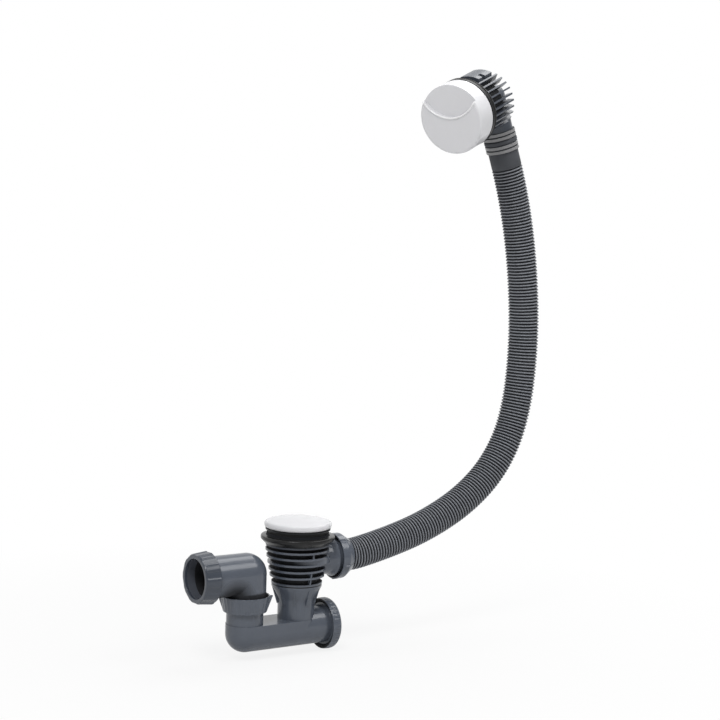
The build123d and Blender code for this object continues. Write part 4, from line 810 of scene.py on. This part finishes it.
def within(line, radius, low, high):
    """Share that is full inside a radius of a line and between two heights along it, in millimetres."""
    def share(where):
        inside = from_line(where, line[0], line[3]).falling(radius, radius + 2 * FADE)
        return inside * level_share(along_line(where, line[0], line[3]), low, high)
    return share


def painted_shade_at_core(where):
    """Painted shade: full at the tapering core between the fins, none at their edges and on the boss."""
    depth = along_line(where, WASTE[0], WASTE[3])
    radius = from_line(where, WASTE[0], WASTE[3])
    plain = (radius - depth * CORE_TAPER).falling(*CORE_TO_FIN)
    by_band = level_share(depth, *BAND_HEIGHTS)
    dark = plain + by_band * (radius.falling(*BAND_CORE_TO_EDGE) - plain)
    off_boss = from_line(where, SPIGOT[0], SPIGOT[3]).rising(*BOSS_TO_CLEAR)
    left = along_line(where, SPIGOT[0], SPIGOT[3]).falling(*LEFT_TO_BOSS)
    return dark * off_boss.maths("MAXIMUM", off_boss, left)


def painted_shade_in_crease(where):
    """Painted shade, strongest in the bend's inner corner and where the bend enters its nut."""
    corner = from_line(where, CREASE, BACK).falling(*CREASE_FADE) * CREASE_SHADE_SHARE
    entry = along_line(where, RISER[0], RISER[3]).falling(*ENTRY_FADE) * ENTRY_SHADE_SHARE
    return corner.maths("MAXIMUM", corner, entry)


def painted_shade_at_drum(where):
    """Painted shade: full at the drum between the head's ribs, none at the ribs' edges; the front of its
    flange is darkened as fully.
    """
    drum_shade = from_line(where, HEAD[0], HEAD[3]).falling(*DRUM_TO_RIB)
    depth = along_line(where, HEAD[0], HEAD[3])
    return drum_shade.maths("MAXIMUM", drum_shade * depth.rising(*DRUM_BACK), depth.rising(*FLANGE_FRONT))


# Painted shade in mouths, bores and gaps, between ridges and under the plug, and a darker middle ridge: a
# line, and the radius, start and end along it
painted_shade_in_outlet = within(OUTLET, 20.4, -130.0, -68.0)
painted_shade_in_riser_nut = within(RISER, 23.9, -64.6, -60.0)
painted_shade_in_cap = within(TUBE, 25.8, 30.0, 34.0)
painted_shade_in_hose_nut = within(SPIGOT, 22.5, 43.0, 46.5)
painted_shade_on_sleeve = within(WASTE, 33.0, -2.9, 0.5)
painted_shade_between_ridges = within(NECK_LINE, 17.6, COLLAR_FOOT - 1, COLLAR_TOP + 1)
on_middle_ridge = within(NECK_LINE, 30.0, -50.3, -45.7)

# Finishes: colours from their darker to their lighter clouds, then roughness
# Near black used as painted shade in hollows, mouths, bores, gaps and grooves, and on the front of the head's
# flange
PAINTED_SHADE = (0.012, 0.013, 0.016)
# Painted shade between the collar's ridges
GROOVE_SHADE_GREY = (0.055, 0.060, 0.068)
RIDGE_GREY = (0.075, 0.080, 0.090)
MOULDED_GREY = moulded((0.086, 0.099, 0.124), (0.106, 0.121, 0.150), 0.20)
RIBBED_GREY = moulded((0.060, 0.069, 0.087), (0.076, 0.087, 0.108), 0.30)
CREST_GREY = moulded((0.26, 0.26, 0.265), (0.30, 0.30, 0.305), 0.28)
RIDGED_GREY_PAINTED_SHADE = tinted(CREST_GREY, GROOVE_SHADE_GREY, painted_shade_between_ridges)
# Hose crests: the hose's grey lightened by a painted highlight
RING_GREY_AND_HIGHLIGHT = moulded((0.215, 0.227, 0.252), (0.250, 0.263, 0.290), 0.42, shine=0.4)
SOFT_WHITE = moulded((0.745, 0.745, 0.765), (0.775, 0.775, 0.795), 0.24, relief=0.006, shine=0.3)
LIP_BLACK = moulded((0.016, 0.016, 0.0165), (0.022, 0.022, 0.022), 0.24, shine=0.25)

GREY = material("grey_plastic", MOULDED_GREY)
# Painted shade at the waste body's core between its fins
FINNED = material("finned_plastic_painted_shade", tinted(MOULDED_GREY, PAINTED_SHADE, painted_shade_at_core))
# Painted shade inside the bend's outlet bore, in its inner corner and where it enters its nut
BORED = material("bored_plastic_painted_shade", tinted(tinted(MOULDED_GREY, PAINTED_SHADE, painted_shade_in_outlet), PAINTED_SHADE, painted_shade_in_crease))
OUTLET_NUT = material("outlet_union_plastic", moulded((0.050, 0.059, 0.077), (0.063, 0.074, 0.095), 0.20))
# Painted shade in the riser nut's mouth
RISER_MOUTH = material("riser_union_painted_shade", tinted(MOULDED_GREY, PAINTED_SHADE, painted_shade_in_riser_nut))
# Painted shade in the cleaning cap's mouth
CAP_MOUTH = material("cap_plastic_painted_shade", tinted(MOULDED_GREY, PAINTED_SHADE, painted_shade_in_cap))
# Painted shade at the hose nut's throat
NUT_MOUTH = material("hose_union_painted_shade", tinted(MOULDED_GREY, PAINTED_SHADE, painted_shade_in_hose_nut))
# Painted shade between the head's ribs, with the flange's front darkened too
RIBBED = material("ribbed_plastic_painted_shade", tinted(RIBBED_GREY, PAINTED_SHADE, painted_shade_at_drum))
# Collar: painted shade between its ridges, and a darker middle ridge
COLLAR = material("collar_plastic_painted_shade", tinted(RIDGED_GREY_PAINTED_SHADE, RIDGE_GREY, on_middle_ridge))
HOSE = material("hose_plastic", moulded((0.074, 0.082, 0.098), (0.090, 0.099, 0.118), 0.26))
# Painted shade in the hose's grooves and bore, and crests lightened by a painted highlight
RINGS = material("ringed_plastic_painted_light", tinted(RING_GREY_AND_HIGHLIGHT, PAINTED_SHADE, painted_shade_in_groove))
WHITE = material("white_plastic", SOFT_WHITE)
# Painted highlight: a brighter white on the bead along the knob's step
HIGHLIGHT_WHITE = material("painted_highlight_white", moulded((0.90, 0.90, 0.91), (0.93, 0.93, 0.94), 0.20, relief=0.004))
BLACK = material("black_plastic", moulded((0.010, 0.0105, 0.012), (0.016, 0.017, 0.019), 0.32, shine=0.25))
RUBBER = material("rubber", moulded((0.012, 0.012, 0.012), (0.018, 0.018, 0.018), 0.36, shine=0.25))
SEAL = material("seal_rubber", moulded((0.080, 0.088, 0.106), (0.092, 0.101, 0.122), 0.40))
# Painted shade on the lip ring's sleeve under the plug
LIP = material("lip_rubber_painted_shade", tinted(LIP_BLACK, PAINTED_SHADE, painted_shade_on_sleeve))
FOAM = material("foam", moulded((0.010, 0.010, 0.010), (0.018, 0.018, 0.018), 0.8, grain=1500.0, relief=0.3))
STEEL = material("steel", metal(moulded((0.5, 0.5, 0.51), (0.58, 0.58, 0.59), 0.32, relief=0.03)))

FINISHES = {"grey_plastic": GREY, "hose_plastic": HOSE, "white_plastic": WHITE, "black_plastic": BLACK,
            "rubber": RUBBER, "foam": FOAM, "steel": STEEL}
OWN_FINISHES = {"hose": RINGS, "lip_ring": LIP, "finned_body": FINNED, "bend": BORED, "ribbed_drum": RIBBED,
                "riser_union": RISER_MOUTH, "cap": CAP_MOUTH, "hose_union": NUT_MOUTH,
                "ridged_collar": COLLAR, "step_bead": HIGHLIGHT_WHITE, "outlet_union": OUTLET_NUT,
                "waste_flange": BLACK, "outlet_seal": SEAL, "outlet_friction_ring": SEAL}

for node, slot in SLOTS.items():
    NODES[node].data.materials.clear()
    NODES[node].data.materials.append(OWN_FINISHES.get(node, FINISHES[slot]))
for piece in PIECES:
    piece.data.materials.append(OWN_FINISHES.get(piece.name, FINISHES[piece["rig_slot"]]))


# Stage: pale floor, white surround, soft light from above

FLOOR_GAP = 0.5
FLOOR_LEVEL = CAD_BOX[0][2] - FLOOR_GAP * MM
FLOOR_REACH = 6.0
FLOOR_GREY = 0.80
FLOOR_ROUGH = 0.9
SHADOW_FADE = (0.15, 0.6)
SHADOW_WHITE = 0.85
SURROUND = 0.25

# White in the part's gloss: two places towards the back, and the shares there
FLOOR_MIRROR = (-0.1, 0.3, 0.2, 0.9)
SURROUND_MIRROR = (-0.2, 0.5, 0.1, 1.0)


def floor():
    """Wide level sheet just below the trap."""
    ends = np.array([-FLOOR_REACH, FLOOR_REACH]) / MM
    x, y = np.meshgrid(ends, ends)
    points = np.stack([x, y, np.full_like(x, FLOOR_LEVEL / MM)], axis=-1)
    piece = grid_piece("floor", points, wrap_columns=False)
    return piece


def backward(where):
    """How far coordinates, or a direction, go to the back."""
    return where.make("ShaderNodeSeparateXYZ", None, {"Vector": where}, output="Y")


def lit_white(tree, lit, share, mirrored):
    """White to the camera by one share and to mirror-like rays by another, and lit as usual for the rest."""
    path = tree.nodes.new("ShaderNodeLightPath")
    camera_ray, glossy, through = [Value(tree, path.outputs[ray]) for ray in
                                   ("Is Camera Ray", "Is Glossy Ray", "Is Transmission Ray")]
    seen = camera_ray * share + camera_ray.maths("MAXIMUM", glossy, through) * mirrored
    white = seen.make("ShaderNodeEmission", None, {"Color": (1.0, 1.0, 1.0, 1.0), "Strength": 1.0})
    return seen.make("ShaderNodeMixShader", None, {0: seen, 1: lit, 2: white})


def floor_finish():
    """Pale floor that shows the shadow near the object and runs out to white further off."""
    made = bpy.data.materials.new("pale_floor")
    made.use_nodes = True
    tree = made.node_tree
    surface = tree.nodes["Principled BSDF"]
    surface.inputs["Base Color"].default_value = (FLOOR_GREY, FLOOR_GREY, FLOOR_GREY, 1.0)
    surface.inputs["Roughness"].default_value = FLOOR_ROUGH
    where = Value(tree, tree.nodes.new("ShaderNodeTexCoord").outputs["Object"])
    away = where.make("ShaderNodeVectorMath", {"operation": "DISTANCE"},
                      {0: where, 1: (0.0, 0.0, FLOOR_LEVEL)}, output="Value")
    white = away.between(*SHADOW_FADE, SHADOW_WHITE, 1.0)
    mirrored = backward(where).between(*FLOOR_MIRROR)
    mixed = lit_white(tree, Value(tree, surface.outputs[0]), white, mirrored)
    tree.links.new(mixed.socket, tree.nodes["Material Output"].inputs["Surface"])
    return made


def surround():
    """White all around to the camera, a low even light for the part, and brighter behind in its gloss."""
    world = bpy.data.worlds.new("surround")
    bpy.context.scene.world = world
    world.use_nodes = True
    tree = world.node_tree
    plain = tree.nodes["Background"]
    plain.inputs["Color"].default_value = (1.0, 1.0, 1.0, 1.0)
    plain.inputs["Strength"].default_value = SURROUND
    towards = Value(tree, tree.nodes.new("ShaderNodeTexCoord").outputs["Generated"])
    mirrored = backward(towards).between(*SURROUND_MIRROR)
    mixed = lit_white(tree, Value(tree, plain.outputs[0]), 1.0, mirrored)
    tree.links.new(mixed.socket, tree.nodes["World Output"].inputs["Surface"])


def soft_box(name, spot, aim, width, height, watts):
    """Rectangular lamp at a spot, turned towards another."""
    lamp = bpy.data.lights.new(name, "AREA")
    lamp.shape = "RECTANGLE"
    lamp.size = width
    lamp.size_y = height
    lamp.energy = watts
    holder = bpy.data.objects.new(name, lamp)
    holder.location = spot
    holder.rotation_euler = (Vector(aim) - Vector(spot)).to_track_quat("-Z", "Y").to_euler()
    bpy.context.scene.collection.objects.link(holder)


# Camera: the photograph's own place, tilt and roll
EYE = Vector((-1.0944, -1.7282, 0.3958))
FORWARD = Vector((0.55613, 0.82450, -0.10453))
TOP = Vector((0.03383, 0.10321, 0.99408))
LENS = 100.0
SENSOR = 36.0
FAR = 50.0


def aim_camera():
    """Camera at the eye, looking forward, with the picture's top side up."""
    camera = bpy.data.cameras.new("camera")
    camera.lens = LENS
    camera.sensor_width = SENSOR
    camera.sensor_fit = "HORIZONTAL"
    camera.clip_end = FAR
    holder = bpy.data.objects.new("camera", camera)
    turn = Matrix((FORWARD.cross(TOP), TOP, -FORWARD)).transposed()
    holder.matrix_world = Matrix.Translation(EYE) @ turn.to_4x4()
    bpy.context.scene.collection.objects.link(holder)
    bpy.context.scene.camera = holder


floor().data.materials.append(floor_finish())
surround()
soft_box("top_box", spot=(0.90, 0.30, 1.70), aim=(0.0, 0.0, 0.0), width=1.1, height=1.5, watts=16.0)
soft_box("front_box", spot=(0.90, -0.98, 1.40), aim=(0.0, 0.0, 0.0), width=1.0, height=0.7, watts=9.0)
soft_box("left_box", spot=(-1.1, -1.0, 1.9), aim=(0.1, 0.0, 0.2), width=0.8, height=0.8, watts=27.5)
aim_camera()
bpy.context.scene.view_settings.view_transform = "Standard"
